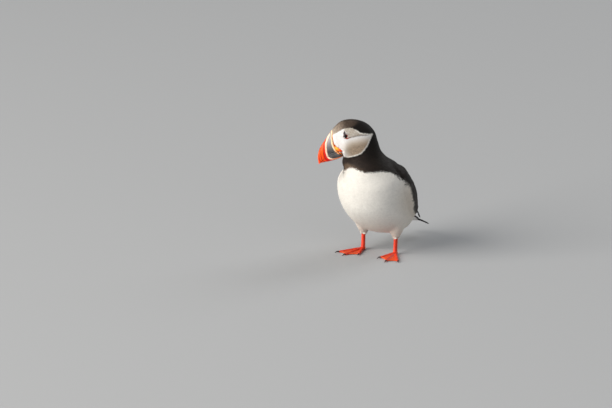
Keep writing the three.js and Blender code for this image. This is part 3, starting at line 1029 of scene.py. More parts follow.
@dataclass
class Skin:
    """One skin for all the flesh. It is the CAD's outline, drawn in by the depth of the coat."""

    flesh: tuple[str, ...] = (
        "head", "neck", "trunk", "wing_left", "wing_right", "thigh_left", "thigh_right",
    )
    swell: float = 0.35  # closes the gaps between the nodes
    voxel: float = 1.25
    tail_cut: float = 64.0  # the wing's blade and the tail behind here are feathers only
    smoothing: int = 5
    lid: float = 0.12  # the lids' thickness over the eyeball
    lid_coat: float = 0.3
    lid_edge: float = 0.65  # half the width of skin that is drawn to the opening's edge
    opening: float = 2.65  # the lids' half width
    lid_reach: float = 4.0
    eye_sunk: float = 0.9  # how far behind the eyeball's front the hidden skin lies
    wing_sunk: float = 1.6  # how far the wing's cut end is drawn in under the body

    def build(self) -> Ground:
        """Builds the skin.

        Returns:
            The coat's outer surface, on which feathers are laid.
        """
        whole = bmesh.new()
        for name in self.flesh:
            self.add(whole, name)
        self.fill_eyes(whole)
        mesh = one_skin("flesh", whole, self.voxel)
        smoothed = bmesh.new()
        smoothed.from_mesh(mesh)
        for _ in range(self.smoothing):
            bmesh.ops.smooth_vert(
                smoothed, verts=smoothed.verts, factor=0.5,
                use_axis_x=True, use_axis_y=True, use_axis_z=True,
            )
        bmesh.ops.triangulate(smoothed, faces=smoothed.faces)
        smoothed.to_mesh(mesh)
        smoothed.free()
        places, normals, triangles = read_mesh(mesh)
        outer = self.over_eyes(self.trued(places - normals * self.swell), self.lid + self.lid_coat)
        ground = Ground(outer, normals_of(outer, triangles), triangles)
        self.draw_in(mesh, ground)
        return ground

    def add(self, whole: Form, name: str) -> None:
        """Adds a node's swollen shape to the flesh.

        Args:
            whole: What it is added to.
            name: The node.
        """
        part = node_form(name)
        if name.startswith("wing"):
            cut = Vector(to_row(np.array([0.0, self.tail_cut, 0.0])).tolist())
            geometry = [*part.verts, *part.edges, *part.faces]
            bmesh.ops.bisect_plane(part, geom=geometry, plane_co=cut, plane_no=(0, 1, 0), clear_outer=True)
            bmesh.ops.holes_fill(part, edges=part.edges)
        part.normal_update()
        for vert in part.verts:
            vert.co += vert.normal * self.swell * MM
        add_form(whole, part)

    def fill_eyes(self, whole: Form) -> None:
        """Closes the eye sockets behind the lids, so that only the eyeball's front shows."""
        for side in (-1, 1):
            centre = HEAD.outside(np.array([0.0, 0.0, side * (EYE_ASIDE - self.eye_sunk)]))
            place = Matrix.Translation(Vector(to_row(centre).tolist()))
            radius = (EYE_RADIUS + 0.3) * MM
            bmesh.ops.create_icosphere(whole, subdivisions=3, radius=radius, matrix=place)

    def trued(self, places: Array) -> Array:
        """Draws the flat facets out to the body's true round form, and the wing's cut end in under it.

        Args:
            places: N by 3.

        Returns:
            The places drawn out and in.
        """
        station, angle = FORM.locate(places)
        true = FORM.point(station, angle)
        off = span(places - true)
        share = ease(off, 2.4, 1.5) * (1 - WINGS.cover(station, angle))
        for name in ("thigh_left", "thigh_right"):
            middle = from_row(np.array([v.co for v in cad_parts[name].data.vertices])).mean(0)
            away = span((places - middle)[:, :2])
            share *= 1 - ease(away, 25, 16) * ease(places[:, 2], 68, 56)
        wing_end = ease(places[:, 1], 46, 54) * ease(off, 0.8, 1.6) * ease(places[:, 2], 62, 55)
        sunk = FORM.point(station, angle, -self.wing_sunk)
        return mix(mix(places, true, share[:, None]), sunk, wing_end[:, None])

    def over_eyes(self, places: Array, thick: float) -> Array:
        """Raises a surface over the eyeballs, like lids.

        Args:
            places: N by 3.
            thick: How far over the eyeball.

        Returns:
            The places raised.
        """
        raised = places.copy()
        for seat in EYE_SEATS.values():
            local = seat.inside(raised)
            near = (span(local[:, :2]) < self.lid_reach) & (local[:, 2] > 0)
            length = span(local)
            reach = np.maximum(length, EYE_RADIUS + thick)
            local = np.where(near[:, None], unit(local) * reach[:, None], local)
            raised = seat.outside(local)
        return raised

    def opened(self, places: Array) -> Array:
        """Opens the lids: the skin in front of each eyeball is sunk behind it, and its edge made round.

        Args:
            places: N by 3.

        Returns:
            The places opened.
        """
        for seat in EYE_SEATS.values():
            local = seat.inside(places)
            across = span(local[:, :2])
            front = local[:, 2] > 0
            rim = front & (np.abs(across - self.opening) < self.lid_edge)
            local[rim, :2] *= (self.opening / np.maximum(across[rim], 1e-6))[:, None]
            behind = front & (across < self.opening - self.lid_edge)
            local = np.where((rim | behind)[:, None], unit(local) * (EYE_RADIUS + self.lid), local)
            local = np.where(behind[:, None], unit(local) * (EYE_RADIUS - self.eye_sunk), local)
            places = seat.outside(local)
        return places

    def draw_in(self, mesh: Mesh, ground: Ground) -> None:
        """Draws the skin in by the coat's depth, presses in its folds, and paints and places it.

        Args:
            mesh: The mesh.
            ground: The coat's outer surface.
        """
        places = ground.places
        station, angle = FORM.locate(places)
        depth = coat_depth(places, station, angle)
        heads = HEAD.inside(places)
        furrow = bump_at(line_distance(heads[:, :2], MARKINGS.furrow), 1.1) * MARKINGS.face_share(heads)
        gape = bump_at(line_distance(heads[:, :2], Rosette.flat_line()), 2.0) * (np.abs(heads[:, 2]) > 5)
        skin_places = places - ground.normals * (depth + 0.5 * furrow + 0.9 * gape)[:, None]
        write_places(mesh, self.opened(self.over_eyes(skin_places, self.lid)))
        paint(mesh, MARKINGS.colours(places, station, angle))
        skin = piece("skin", mesh, SkinTone().make())
        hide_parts(*self.flesh)


def coat_depth(points: Array, station: Array, angle: Array) -> Array:
    """How deep the coat is over the skin, in millimetres.

    Args:
        points: N by 3.
        station: Their stations.
        angle: Their angles.

    Returns:
        N depths.
    """
    places = HEAD.inside(points)
    back = ease(from_back(angle), 2.0, 1.2)
    depth = mix(1.8, 1.6, np.maximum(back, ease(station, 5.2, 7.0)))
    depth = mix(depth, 2.4, WINGS.share(station, angle))
    depth = mix(depth, 0.95, ease(station, 7.2, 9.2))
    return mix(depth, 0.45, MARKINGS.face_share(places))


# ---- feathers


@dataclass
class Vane:
    """A feather's pattern: places [across, along, lift], triangles, and how far each place leans aside.

    Across is in half-widths, along in lengths and lift in millimetres.
    """

    places: Array
    triangles: Array
    lean: Array

    @classmethod
    def plume(cls, barbs: int, rng: Random, part: float = 0.42, fan: float = 1.12) -> Vane:
        """A soft contour feather: a small vane whose end is parted into tapering barbs.

        Args:
            barbs: How many.
            rng: The random draws.
            part: Where along it the barbs part.
            fan: How far they spread.

        Returns:
            The pattern.
        """
        rows = [(0.0, 0.3), (0.3, 0.8), (0.6, 0.95)]
        places = [(x * wide, y, 0.1 * (1 - abs(x))) for y, wide in rows for x in (-1, 0, 1)]
        lean = [0.5 * x for _ in rows for x in (-1, 0, 1)]
        triangles = []
        for row in (0, 3):
            for k in (row, row + 1):
                triangles += [(k, k + 1, k + 4), (k, k + 4, k + 3)]
        for k in range(barbs):
            x = (2 * (k + 0.5) / barbs - 1) * 0.94
            tip = 1 - 0.3 * x * x + rng.uniform(-0.07, 0.05)
            away = x * fan + rng.uniform(-0.5, 0.5) / barbs
            wide, lift = 1.3 / barbs, 0.05 + 0.12 * (k % 2) + rng.uniform(0, 0.08)
            middle, twist = mix(part, tip, 0.6), 0.5 * x + rng.uniform(-0.22, 0.22)
            first = len(places)
            places += [(x - wide, part, 0.04), (x + wide, part, 0.04)]
            bend = mix(x, away, 0.55)
            places += [(bend - 0.75 * wide, middle, lift), (bend + 0.75 * wide, middle, lift)]
            places += [(away, tip, lift + rng.uniform(0, 0.06))]
            lean += [twist] * 5
            triangles += [(first, first + 1, first + 3), (first, first + 3, first + 2)]
            triangles += [(first + 2, first + 3, first + 4)]
        return cls(np.array(places), np.array(triangles), np.array(lean))

    @classmethod
    def blade(cls, rows: int = 12, columns: int = 6, tip: float = 2.2, thick: float = 0.22) -> Vane:
        """A flight feather: a closed, cambered blade with a raised shaft and a rounded tip.

        Args:
            rows: Steps along it.
            columns: Steps across it.
            tip: How blunt its tip is: the more, the squarer.
            thick: Its thickness in millimetres.

        Returns:
            The pattern.
        """
        y, x = np.meshgrid(np.linspace(0, 1, rows + 1), np.linspace(-1, 1, columns + 1), indexing="ij")
        rounded = (1 - np.clip(y, 0, 1) ** (2 * tip)) ** 0.5 + 0.04
        wide = np.minimum(mix(0.55, 1.0, ease(y, 0, 0.35)), rounded)
        shaft = 0.3 * bump_at(x, 0.16) * (1.02 - y)
        top = np.stack([x * wide, y, thick + shaft - 0.35 * x * x], -1).reshape(-1, 3)
        under = np.stack([x * wide, y, -0.35 * x * x], -1).reshape(-1, 3)
        count, across = len(top), columns + 1
        triangles = []
        for i in range(rows):
            for j in range(columns):
                a = i * across + j
                b, c, d = a + 1, a + across + 1, a + across
                triangles += [(a, b, c), (a, c, d)]
                triangles += [(a + count, c + count, b + count), (a + count, d + count, c + count)]
        rim = list(range(across))
        rim += [i * across + columns for i in range(1, rows + 1)]
        rim += [rows * across + j for j in range(columns - 1, -1, -1)]
        rim += [i * across for i in range(rows - 1, 0, -1)]
        for a, b in zip(rim, rim[1:] + rim[:1]):
            triangles += [(a, a + count, b + count), (a, b + count, b)]
        lean = np.tile(x.ravel() * 0.3, 2)
        return cls(np.concatenate([top, under]), np.array(triangles), lean)


BAKE_PATCH = 0.003  # how much of the baked map a feather takes up


@dataclass
class Lay:
    """Feathers in place: each one's spine, the way out of the body along it, and its size and colour."""

    spine: Array
    out: Array
    half: Array
    sink: Array  # how deep its root lies
    colours: Array
    roots: Array  # its place on the baked map
    roll: Array | None = None  # how far a stiff feather is tilted about its shaft
    tip_tone: float = 1.0
    root_tone: float = 0.8

    def choose(self, which: Array) -> Lay:
        """Some of the feathers."""
        picked = (getattr(self, key)[which] for key in ("spine", "out", "half", "sink", "colours", "roots"))
        roll = None if self.roll is None else self.roll[which]
        return Lay(*picked, roll, self.tip_tone, self.root_tone)

    def sheet(self, vane: Vane, follow: float = 0.75) -> Sheet:
        """Shapes every feather from one pattern.

        Args:
            vane: The pattern.
            follow: How much its shading follows the body's form, and not its own.

        Returns:
            All of them as one sheet.
        """
        x, y, lift = vane.places.T
        knots = self.spine.shape[1]
        weights = catmull(np.eye(knots), y * (knots - 1))
        along = np.gradient(self.spine, axis=1)
        aside = unit(np.cross(along, self.out))
        middle = np.einsum("vk,nkc->nvc", weights, self.spine)
        side = unit(np.einsum("vk,nkc->nvc", weights, aside))
        out = unit(np.einsum("vk,nkc->nvc", weights, self.out))
        fine = 1.0 if self.roll is not None else np.clip(self.half / 2, 0.2, 1)[:, None]
        height = lift[None, :] * fine - self.sink[:, None] * np.clip(1 - y[None, :], 0, 1) ** 1.2
        if self.roll is not None:
            height = height + self.roll[:, None] * x[None, :]
        places = middle + side * (x[None, :] * self.half[:, None])[..., None] + out * height[..., None]
        normals = unit(out + side * (vane.lean * follow)[None, :, None])
        tone = mix(self.root_tone, self.tip_tone, y)[None, :, None]
        base = self.colours[:, None, :]
        if self.colours.ndim == 3:
            base = np.einsum("vk,nkc->nvc", weights, self.colours)
        colours = np.clip(base * tone, 0, 0.98)
        count, size = len(self.spine), len(y)
        triangles = vane.triangles[None] + (np.arange(count) * size)[:, None, None]
        patch = np.stack([x, y * 2 - 1], -1) * BAKE_PATCH / 2
        bake = self.roots[:, None, :] * (1 - 2 * BAKE_PATCH) + BAKE_PATCH + patch[None]
        length = np.linalg.norm(np.diff(self.spine, axis=1), axis=2).sum(1)
        own = np.stack([x[None] * self.half[:, None], y[None] * length[:, None]], -1)
        return Sheet(
            places.reshape(-1, 3), triangles.reshape(-1, 3), colours.reshape(-1, 3), bake.reshape(-1, 2),
            own.reshape(-1, 2), normals.reshape(-1, 3),
        )


def joined(sheets: Sequence[Sheet]) -> Sheet:
    """Several sheets as one."""
    starts = np.cumsum([0] + [len(s.places) for s in sheets[:-1]])
    triangles = np.concatenate([s.triangles + start for s, start in zip(sheets, starts)])
    keys = ("colours", "bake", "vane", "normals")
    rest = [np.concatenate([getattr(s, key) for s in sheets]) for key in keys]
    return Sheet(np.concatenate([s.places for s in sheets]), triangles, *rest)


def spread(values: Array) -> Array:
    """Values stretched to run from 0 to 1."""
    low, high = values.min(), values.max()
    return (values - low) / max(high - low, 1e-6)


@dataclass(frozen=True)
class Plate:
    """A small horny plate beside the eye, broad at its start and pointed at its end."""

    name: str
    start: Pair
    end: Pair
    half: float
    thick: float
    dark: str
    light: str

    def depth(self, flat: Array) -> Array:
        """How deep [ahead, above] lies inside it, less than 0 outside.

        Args:
            flat: N by 2.

        Returns:
            N depths.
        """
        way = np.array(self.end) - np.array(self.start)
        share = np.clip((flat - self.start) @ way / (way @ way), 0, 1)
        off = span(flat - self.start - share[:, None] * way)
        return self.half * mix(1.0, 0.12, share**0.8) - off


PLATES = (
    Plate("eye_plate_upper", (0.3, 1.9), (-2.2, 6.3), 2.1, 0.45, "352B2C", "62555A"),
    Plate("eye_plate_lower", (1.6, -3.0), (-4.9, -4.8), 1.3, 0.5, "6E2C22", "A04836"),
)


Regions = tuple[float, float, float, float, float]


@dataclass
class CoatStyle:
    """How the coat grows at some places, each number in millimetres."""

    spacing: Array
    length: Array
    half: Array
    depth: Array


@dataclass
class Coat:
    """The contour feathers, from the bill's base to the tail.

    Each of its regions' numbers stands for belly, mantle, collar, cap and cheek, in that order.
    """

    gaps: Regions = (1.2, 1.6, 1.0, 0.8, 0.62)
    lengths: Regions = (9.5, 10.5, 6.5, 4.4, 3.5)
    halves: Regions = (2.2, 3.3, 1.5, 1.0, 0.62)
    barbs: int = 9
    patterns: int = 5
    most: int = 5000  # feathers in one piece
    knots: int = 4
    stray: float = 0.10
    eye_bare: float = 3.15  # no feather grows nearer to an eye's axis
    gape_bare: float = 1.6  # nor nearer to the corner of the mouth
    hem: float = 23.0  # how high the thighs' feathers end

    def style(self, points: Array, station: Array, angle: Array) -> CoatStyle:
        """How the coat grows at points of the body.

        Args:
            points: N by 3.
            station: Their stations.
            angle: Their angles.

        Returns:
            Its numbers at each point.
        """
        places = HEAD.inside(points)
        side = from_back(angle)
        face = MARKINGS.face_share(places)
        neck, head = ease(station, 5.0, 6.6), ease(station, 7.4, 9.4)
        back = ease(side, 1.75, 1.35)
        thigh = ease(points[:, 2], 44, 32) * ease(station, 3.6, 3.0)
        near = ease(places[:, 0], -6, 12) * head
        tail = ease(station, 2.2, 0.4)

        def blend(regions: Regions) -> Array:
            """One number over the whole body."""
            belly, mantle, collar, cap, cheek = regions
            body = mix(belly, mantle, back)
            return mix(mix(mix(body, collar, neck), cap, head), cheek, face)

        spacing = blend(self.gaps) * mix(1, 0.85, thigh)
        length = blend(self.lengths) * mix(1, 0.72, thigh) * mix(1, 1.35, tail) * mix(1, 0.78, near)
        half = blend(self.halves) * mix(1, 0.75, thigh) * mix(1, 0.8, near)
        return CoatStyle(spacing, length, half, coat_depth(points, station, angle))

    def spacing(self, points: Array) -> Array:
        """The least distance between roots, 0 where nothing grows.

        Args:
            points: N by 3.

        Returns:
            N distances.
        """
        station, angle = FORM.locate(points)
        gap = self.style(points, station, angle).spacing
        places = HEAD.inside(points)
        flat, aside = places[:, :2], np.abs(places[:, 2])
        bare = np.zeros(len(points), bool)
        for seat in EYE_SEATS.values():
            local = seat.inside(points)
            bare |= (span(local[:, :2]) < self.eye_bare) & (local[:, 2] > 0)
        for plate in PLATES:
            bare |= (plate.depth(flat) > -0.1) & (aside > 8)
        bare |= (line_distance(flat, Rosette.flat_line()) < self.gape_bare) & (aside > 6)
        bare |= (flat[:, 0] > 14.2) & (aside < 7.6) & (flat[:, 1] < 12) & (flat[:, 1] > -26)
        off = span(points - FORM.point(station, angle))
        bare |= (WINGS.share(station, angle) > 0.5) | ((points[:, 1] > 44) & (off > 0.6))
        bare |= points[:, 2] < self.hem + 1.2
        return np.where(bare, 0, gap)

    def way(self, points: Array, station: Array, angle: Array, out: Array) -> Array:
        """Which way the feathers point.

        Args:
            points: N by 3.
            station: Their stations.
            angle: Their angles.
            out: The way out of the body at each.

        Returns:
            N ways, of length one.
        """
        way = FORM.lie(station, angle)
        side = from_back(angle)
        hand = np.where(angle < math.pi, -1.0, 1.0)
        ahead = FORM.point(station, angle + 0.02 * hand) - FORM.point(station, angle)
        flank = bump_at(side - 1.62, 0.3) * ease(station, 1.0, 2.2) * ease(station, 5.4, 4.4)
        way = way + 0.4 * flank[:, None] * unit(ahead)
        leg = ease(points[:, 2], 46, 30) * ease(station, 3.4, 2.8)
        way = mix(way, np.array([0.0, 0.25, -1.0]), 0.8 * leg[:, None])
        for seat in EYE_SEATS.values():
            local = seat.inside(points)
            near = ease(span(local[:, :2]), 7.5, 4.0) * (local[:, 2] > 0)
            local[:, 2] = 0
            away = unit(local) @ seat.axes
            inward = np.minimum(dot(way, away), 0)
            way = way - away * (inward * 1.15 * near[:, None])
        ahead, _, aside = HEAD.axes
        front = ease(out @ ahead, 0.6, 0.85) * (station > 13)
        beside = np.sign(HEAD.inside(points)[:, 2:3]) * aside - 0.4 * ahead
        way = mix(way, beside, front[:, None])
        return unit(way - out * dot(way, out))

    def build(self, ground: Ground) -> None:
        """Grows the coat.

        Args:
            ground: The surface that the feathers' tips lie on.
        """
        rng = np.random.default_rng(SEED)
        roots = ground.scatter(self.spacing, rng)
        roots, out = ground.rest(roots)
        station, angle = FORM.locate(roots)
        style = self.style(roots, station, angle)
        count = len(roots)
        length = style.length * rng.uniform(0.85, 1.15, count)
        length = length * mix(1, 0.6, ease(roots[:, 2], self.hem + 9, self.hem + 2))
        spine, normals = [roots], [out]
        way = self.way(roots, station, angle, out)
        turn = rng.normal(0, self.stray, count)[:, None]
        way = unit(way + np.cross(way, out) * turn)
        for _ in range(self.knots - 1):
            reach = spine[-1] + way * (length / (self.knots - 1))[:, None]
            place, out = ground.rest(reach)
            hang = (ease(place[:, 2], self.hem + 3, self.hem + 1) * (place[:, 1] < 45))[:, None]
            place = mix(place, reach, hang)
            out = mix(out, normals[-1], hang)
            way = unit(place - spine[-1] + 0.2 * way)
            way = unit(way - out * dot(way, out))
            spine.append(place)
            normals.append(out)
        mark = mix(spine[1], spine[2], 0.7)
        colours = np.stack([MARKINGS.colours(place, *FORM.locate(place)) for place in spine], 1)
        light = MARKINGS.colours(mark, *FORM.locate(mark)).mean(1)
        vary = np.where(light > 0.3, rng.uniform(0.94, 1.04, count), rng.uniform(0.78, 1.22, count))
        lay = Lay(
            np.stack(spine, 1), np.stack(normals, 1), style.half * rng.uniform(0.85, 1.15, count),
            style.depth * 0.95, np.clip(colours * vary[:, None, None], 0, 0.95),
            np.stack([angle / TAU, station / FORM.last], -1),
        )
        self.part(lay, station, angle, HEAD.inside(mark), light, rng)

    def part(
        self, lay: Lay, station: Array, angle: Array, heads: Array, light: Array, rng: Random
    ) -> None:
        """Parts the feathers into pieces by place and colour, and makes each one.

        Args:
            lay: The feathers.
            station: Their stations.
            angle: Their angles.
            heads: Their places in the head's frame.
            light: How light each one is.
            rng: The random draws.
        """
        face = MARKINGS.face_share(heads) > 0.5
        dark = (light < 0.25) & ~face
        nape, shoulder, waist = 8.2, 5.0, 3.9
        regions = {
            "face": (face, FACE_PLUMAGE),
            "cap": (dark & (station >= nape), BLACK_PLUMAGE),
            "collar": (dark & (station >= shoulder) & (station < nape), BLACK_PLUMAGE),
            "mantle": (dark & (station < shoulder), BLACK_PLUMAGE),
            "breast": (~dark & ~face & (station >= waist), WHITE_PLUMAGE),
            "belly": (~dark & ~face & (station < waist), WHITE_PLUMAGE),
        }
        patterns = [Vane.plume(self.barbs, rng) for _ in range(self.patterns)]
        for name, (chosen, finish) in regions.items():
            members = np.flatnonzero(chosen)
            members = members[np.argsort(angle[members], kind="stable")]
            parts = max(1, math.ceil(len(members) / self.most))
            for k, some in enumerate(np.array_split(members, parts)):
                if len(some):
                    label = f"coat_{name}_{k + 1}" if parts > 1 else f"coat_{name}"
                    self.make(label, lay.choose(some), patterns, finish)

    def make(self, name: str, lay: Lay, patterns: Sequence[Vane], finish: Plumage) -> None:
        """Makes one piece of the coat.

        Args:
            name: Its name.
            lay: The feathers.
            patterns: The shapes that they take by turns.
            finish: What it wears.
        """
        lay.roots = np.stack([spread(lay.roots[:, 0]), spread(lay.roots[:, 1])], -1)
        kinds = np.arange(len(lay.spine)) % len(patterns)
        follow = {FACE_PLUMAGE: 0.18, WHITE_PLUMAGE: 0.32}.get(finish, 0.42)
        sheets = [lay.choose(np.flatnonzero(kinds == k)).sheet(v, follow) for k, v in enumerate(patterns)]
        piece(name, joined(sheets).mesh(name), finish.make())


WHITE_PLUMAGE = Plumage("white_contour_feathers", "plumage_white", roughness=0.82, sheen=0.15)
FACE_PLUMAGE = Plumage("short_face_feathers", "plumage_face", roughness=0.85, sheen=0.1, barb_mm=0.3)
BLACK_PLUMAGE = Plumage(
    "black_contour_feathers", "plumage_black", roughness=0.55, sheen=0.03, gloss=0.14
)


# ---- wings and tail


@dataclass(frozen=True)
class WingRow:
    """A row across the folded wing, from its front edge to its back edge, by the CAD's own sizes."""

    station: float
    low: float
    high: float
    lift: float
    thick: float


@dataclass(frozen=True)
class FeatherRow:
    """A row of large feathers on the wing's chart. Its pairs are for the first and the last of them."""

    name: str
    count: int
    roots: Pair
    tips: Pair
    root_across: Pair
    tip_across: Pair
    half: Pair
    depth: Pair
    blunt: float
    sink: float


@dataclass
class Wings:
    """The folded wings. A place on one is a row of its chart, and a share across it from the front edge."""

    gap: float = 0.4
    columns: int = 8
    edge: float = 0.12
    tip: tuple[float, float, float] = (7, 103, 27)
    knots: int = 6
    roll: float = 0.45
    rows: tuple[WingRow, ...] = (
        WingRow(5.6, 60, 50, 0, 1.2), WingRow(5.3, 70, 42, 0, 2.6), WingRow(4.8, 78, 34, 0, 4),
        WingRow(4.0, 88, 28, 0, 4.6), WingRow(3.0, 94, 22, 0, 4.6), WingRow(2.0, 93, 17, 0.3, 4),
        WingRow(1.1, 86, 12, 2, 3.4), WingRow(0.35, 72, 12, 5, 2.8),
    )
    tip_rows: Line = ((0.5, 2.6), (0.85, 1.8), (1.0, 0.8))
    feathers: tuple[FeatherRow, ...] = (
        FeatherRow(
            "primaries", 8, (4.6, 4.6), (9.95, 6.9), (0.22, 0.75), (0.35, 0.7), (4.6, 4.6), (1.9, 1.3),
            blunt=1.7, sink=0.7,
        ),
        FeatherRow(
            "secondaries", 10, (3.7, 3.9), (5.45, 6), (0.29, 0.86), (0.3, 0.84), (4.2, 4.8), (1.5, 1),
            blunt=1.5, sink=0.8,
        ),
        FeatherRow(
            "tertials", 4, (3.5, 3.3), (5.9, 6.7), (0.7, 1), (0.66, 0.95), (5.2, 5.4), (0.9, 0.45),
            blunt=1.6, sink=0.9,
        ),
        FeatherRow(
            "great_coverts", 10, (3.05, 3.2), (4.4, 4.65), (0.31, 0.93), (0.25, 0.92), (3.6, 4.2),
            (0.8, 0.5), blunt=1.5, sink=1.2,
        ),
        FeatherRow(
            "median_coverts", 12, (2.45, 2.5), (3.65, 3.8), (0.27, 0.95), (0.31, 0.94), (3, 3.6),
            (0.4, 0.2), blunt=1.4, sink=2.2,
        ),
        FeatherRow(
            "lesser_coverts", 14, (2.1, 2.1), (3.05, 3.15), (0.22, 0.97), (0.3, 0.96), (2.6, 3),
            (0.2, 0), blunt=1.3, sink=3,
        ),
    )

    def edges(self, station: Array) -> tuple[Array, Array]:
        """The folded wing's back and front edges at a station, in degrees down from the back.

        Args:
            station: Where.

        Returns:
            Both angles.
        """
        rows = self.rows[::-1]
        stations = [row.station for row in rows]
        high = np.interp(station, stations, [row.high for row in rows])
        return high, np.interp(station, stations, [row.low for row in rows])

    def share(self, station: Array, angle: Array) -> Array:
        """Where the flight feathers lie and the small coat doesn't grow, from 0 to 1.

        Args:
            station: Their stations.
            angle: Their angles.

        Returns:
            N shares.
        """
        side = np.degrees(from_back(angle))
        high, _ = self.edges(station)
        front = MARKINGS.mantle_edge(station) - 10
        inside = ease(side, high + 2, high + 6) * ease(side, front + 2, front - 2)
        return inside * ease(station, 4.4, 4.2) * ease(station, 0.2, 0.3)

    def cover(self, station: Array, angle: Array) -> Array:
        """Whether each place lies under a wing, from 0 to 1."""
        side = np.degrees(from_back(angle))
        high, low = self.edges(station)
        return ease(side, high - 6, high - 3) * ease(side, low + 6, low + 3) * ease(station, 5.9, 5.7)

    def chart(self, side: int) -> Array:
        """The wing's outer surface as rows and columns of places.

        Args:
            side: 1 for the left wing, -1 for the right.

        Returns:
            Rows by columns by 3.
        """
        share = np.linspace(0, 1, self.columns + 1)
        swell = np.maximum(self.edge, np.sin(math.pi * share) ** 0.6)

        def across(row: WingRow, hand: int, thick: Array | float) -> Array:
            """A row of places, raised over the body."""
            angle = hand * np.radians(mix(row.low, row.high, share))
            return FORM.point(np.full(len(share), row.station), angle, self.gap + row.lift + thick)

        outer = [across(row, side, row.thick * swell) for row in self.rows]
        last = self.rows[-1]
        low, high = across(last, 1, 0.0), across(last, 1, last.thick * swell)
        core, way = low[self.columns // 2], unit(high - low)
        for reach, thick in self.tip_rows:
            pinch = mix(1, self.edge, reach**1.6)
            tip = mix(core, np.array(self.tip), reach) + (low - core) * pinch + way * thick
            outer.append(tip * np.array([side, 1, 1]))
        return np.array(outer)

    def place(self, table: Array, along: Array, across: Array) -> Array:
        """Places of a chart, at rows along and shares across."""
        a = catmull(np.eye(len(table)), along)
        c = catmull(np.eye(table.shape[1]), across * self.columns)
        return np.einsum("...a,...c,acd->...d", a, c, table)

    def normal(self, table: Array, along: Array, across: Array, side: int) -> Array:
        """The way out of a chart's surface.

        Args:
            table: The chart.
            along: Rows of the chart.
            across: Shares across it.
            side: 1 for the left, -1 for the right.

        Returns:
            Ways out, of length one.
        """
        step = 0.04
        one = self.place(table, along + step, across) - self.place(table, along - step, across)
        low, high = np.clip(across - step, 0, 1), np.clip(across + step, 0, 1)
        two = self.place(table, along, high) - self.place(table, along, low)
        return unit(np.cross(one, two) * side)

    def build(self) -> None:
        """Builds both wings' large feathers."""
        rng = np.random.default_rng(SEED + 1)
        finish = FLIGHT_PLUMAGE.make()
        for side, hand in SIDES:
            table = self.chart(side)
            for row in self.feathers:
                lay = self.lay(table, row, side, rng)
                sheet = lay.sheet(Vane.blade(rows=14, columns=6, tip=row.blunt), 0.4)
                name = f"{row.name}_{hand}"
                piece(name, sheet.mesh(name), finish)

    def lay(self, table: Array, row: FeatherRow, side: int, rng: Random) -> Lay:
        """Lays one row of large feathers on a chart.

        Args:
            table: The chart.
            row: The row.
            side: 1 for the left, -1 for the right.
            rng: The random draws.

        Returns:
            The feathers.
        """
        k = np.linspace(0, 1, row.count)
        y = np.linspace(0, 1, self.knots)[None]
        jog = rng.uniform(-0.03, 0.03, row.count)
        along = mix(mix(*row.roots, k)[:, None], (mix(*row.tips, k) + jog)[:, None], y)
        bow = 0.02 * np.sin(math.pi * y)
        across = mix(mix(*row.root_across, k)[:, None], mix(*row.tip_across, k)[:, None], y) + bow
        spine = self.place(table, along, across)
        out = self.normal(table, along, across, side)
        spine = spine - out * mix(*row.depth, k)[:, None, None]
        vary = rng.uniform(0.85, 1.2, row.count)[:, None]
        brown = over(Tint.QUILL, Tint.WORN, 0.25 * rng.random(row.count))
        roots = np.stack([mix(0.02, 0.98, k), mix(*row.roots, k) / len(table)], -1)
        return Lay(
            spine, out, mix(*row.half, k), np.full(row.count, row.sink), brown * vary, roots,
            np.full(row.count, self.roll * side), tip_tone=1.35, root_tone=0.75,
        )


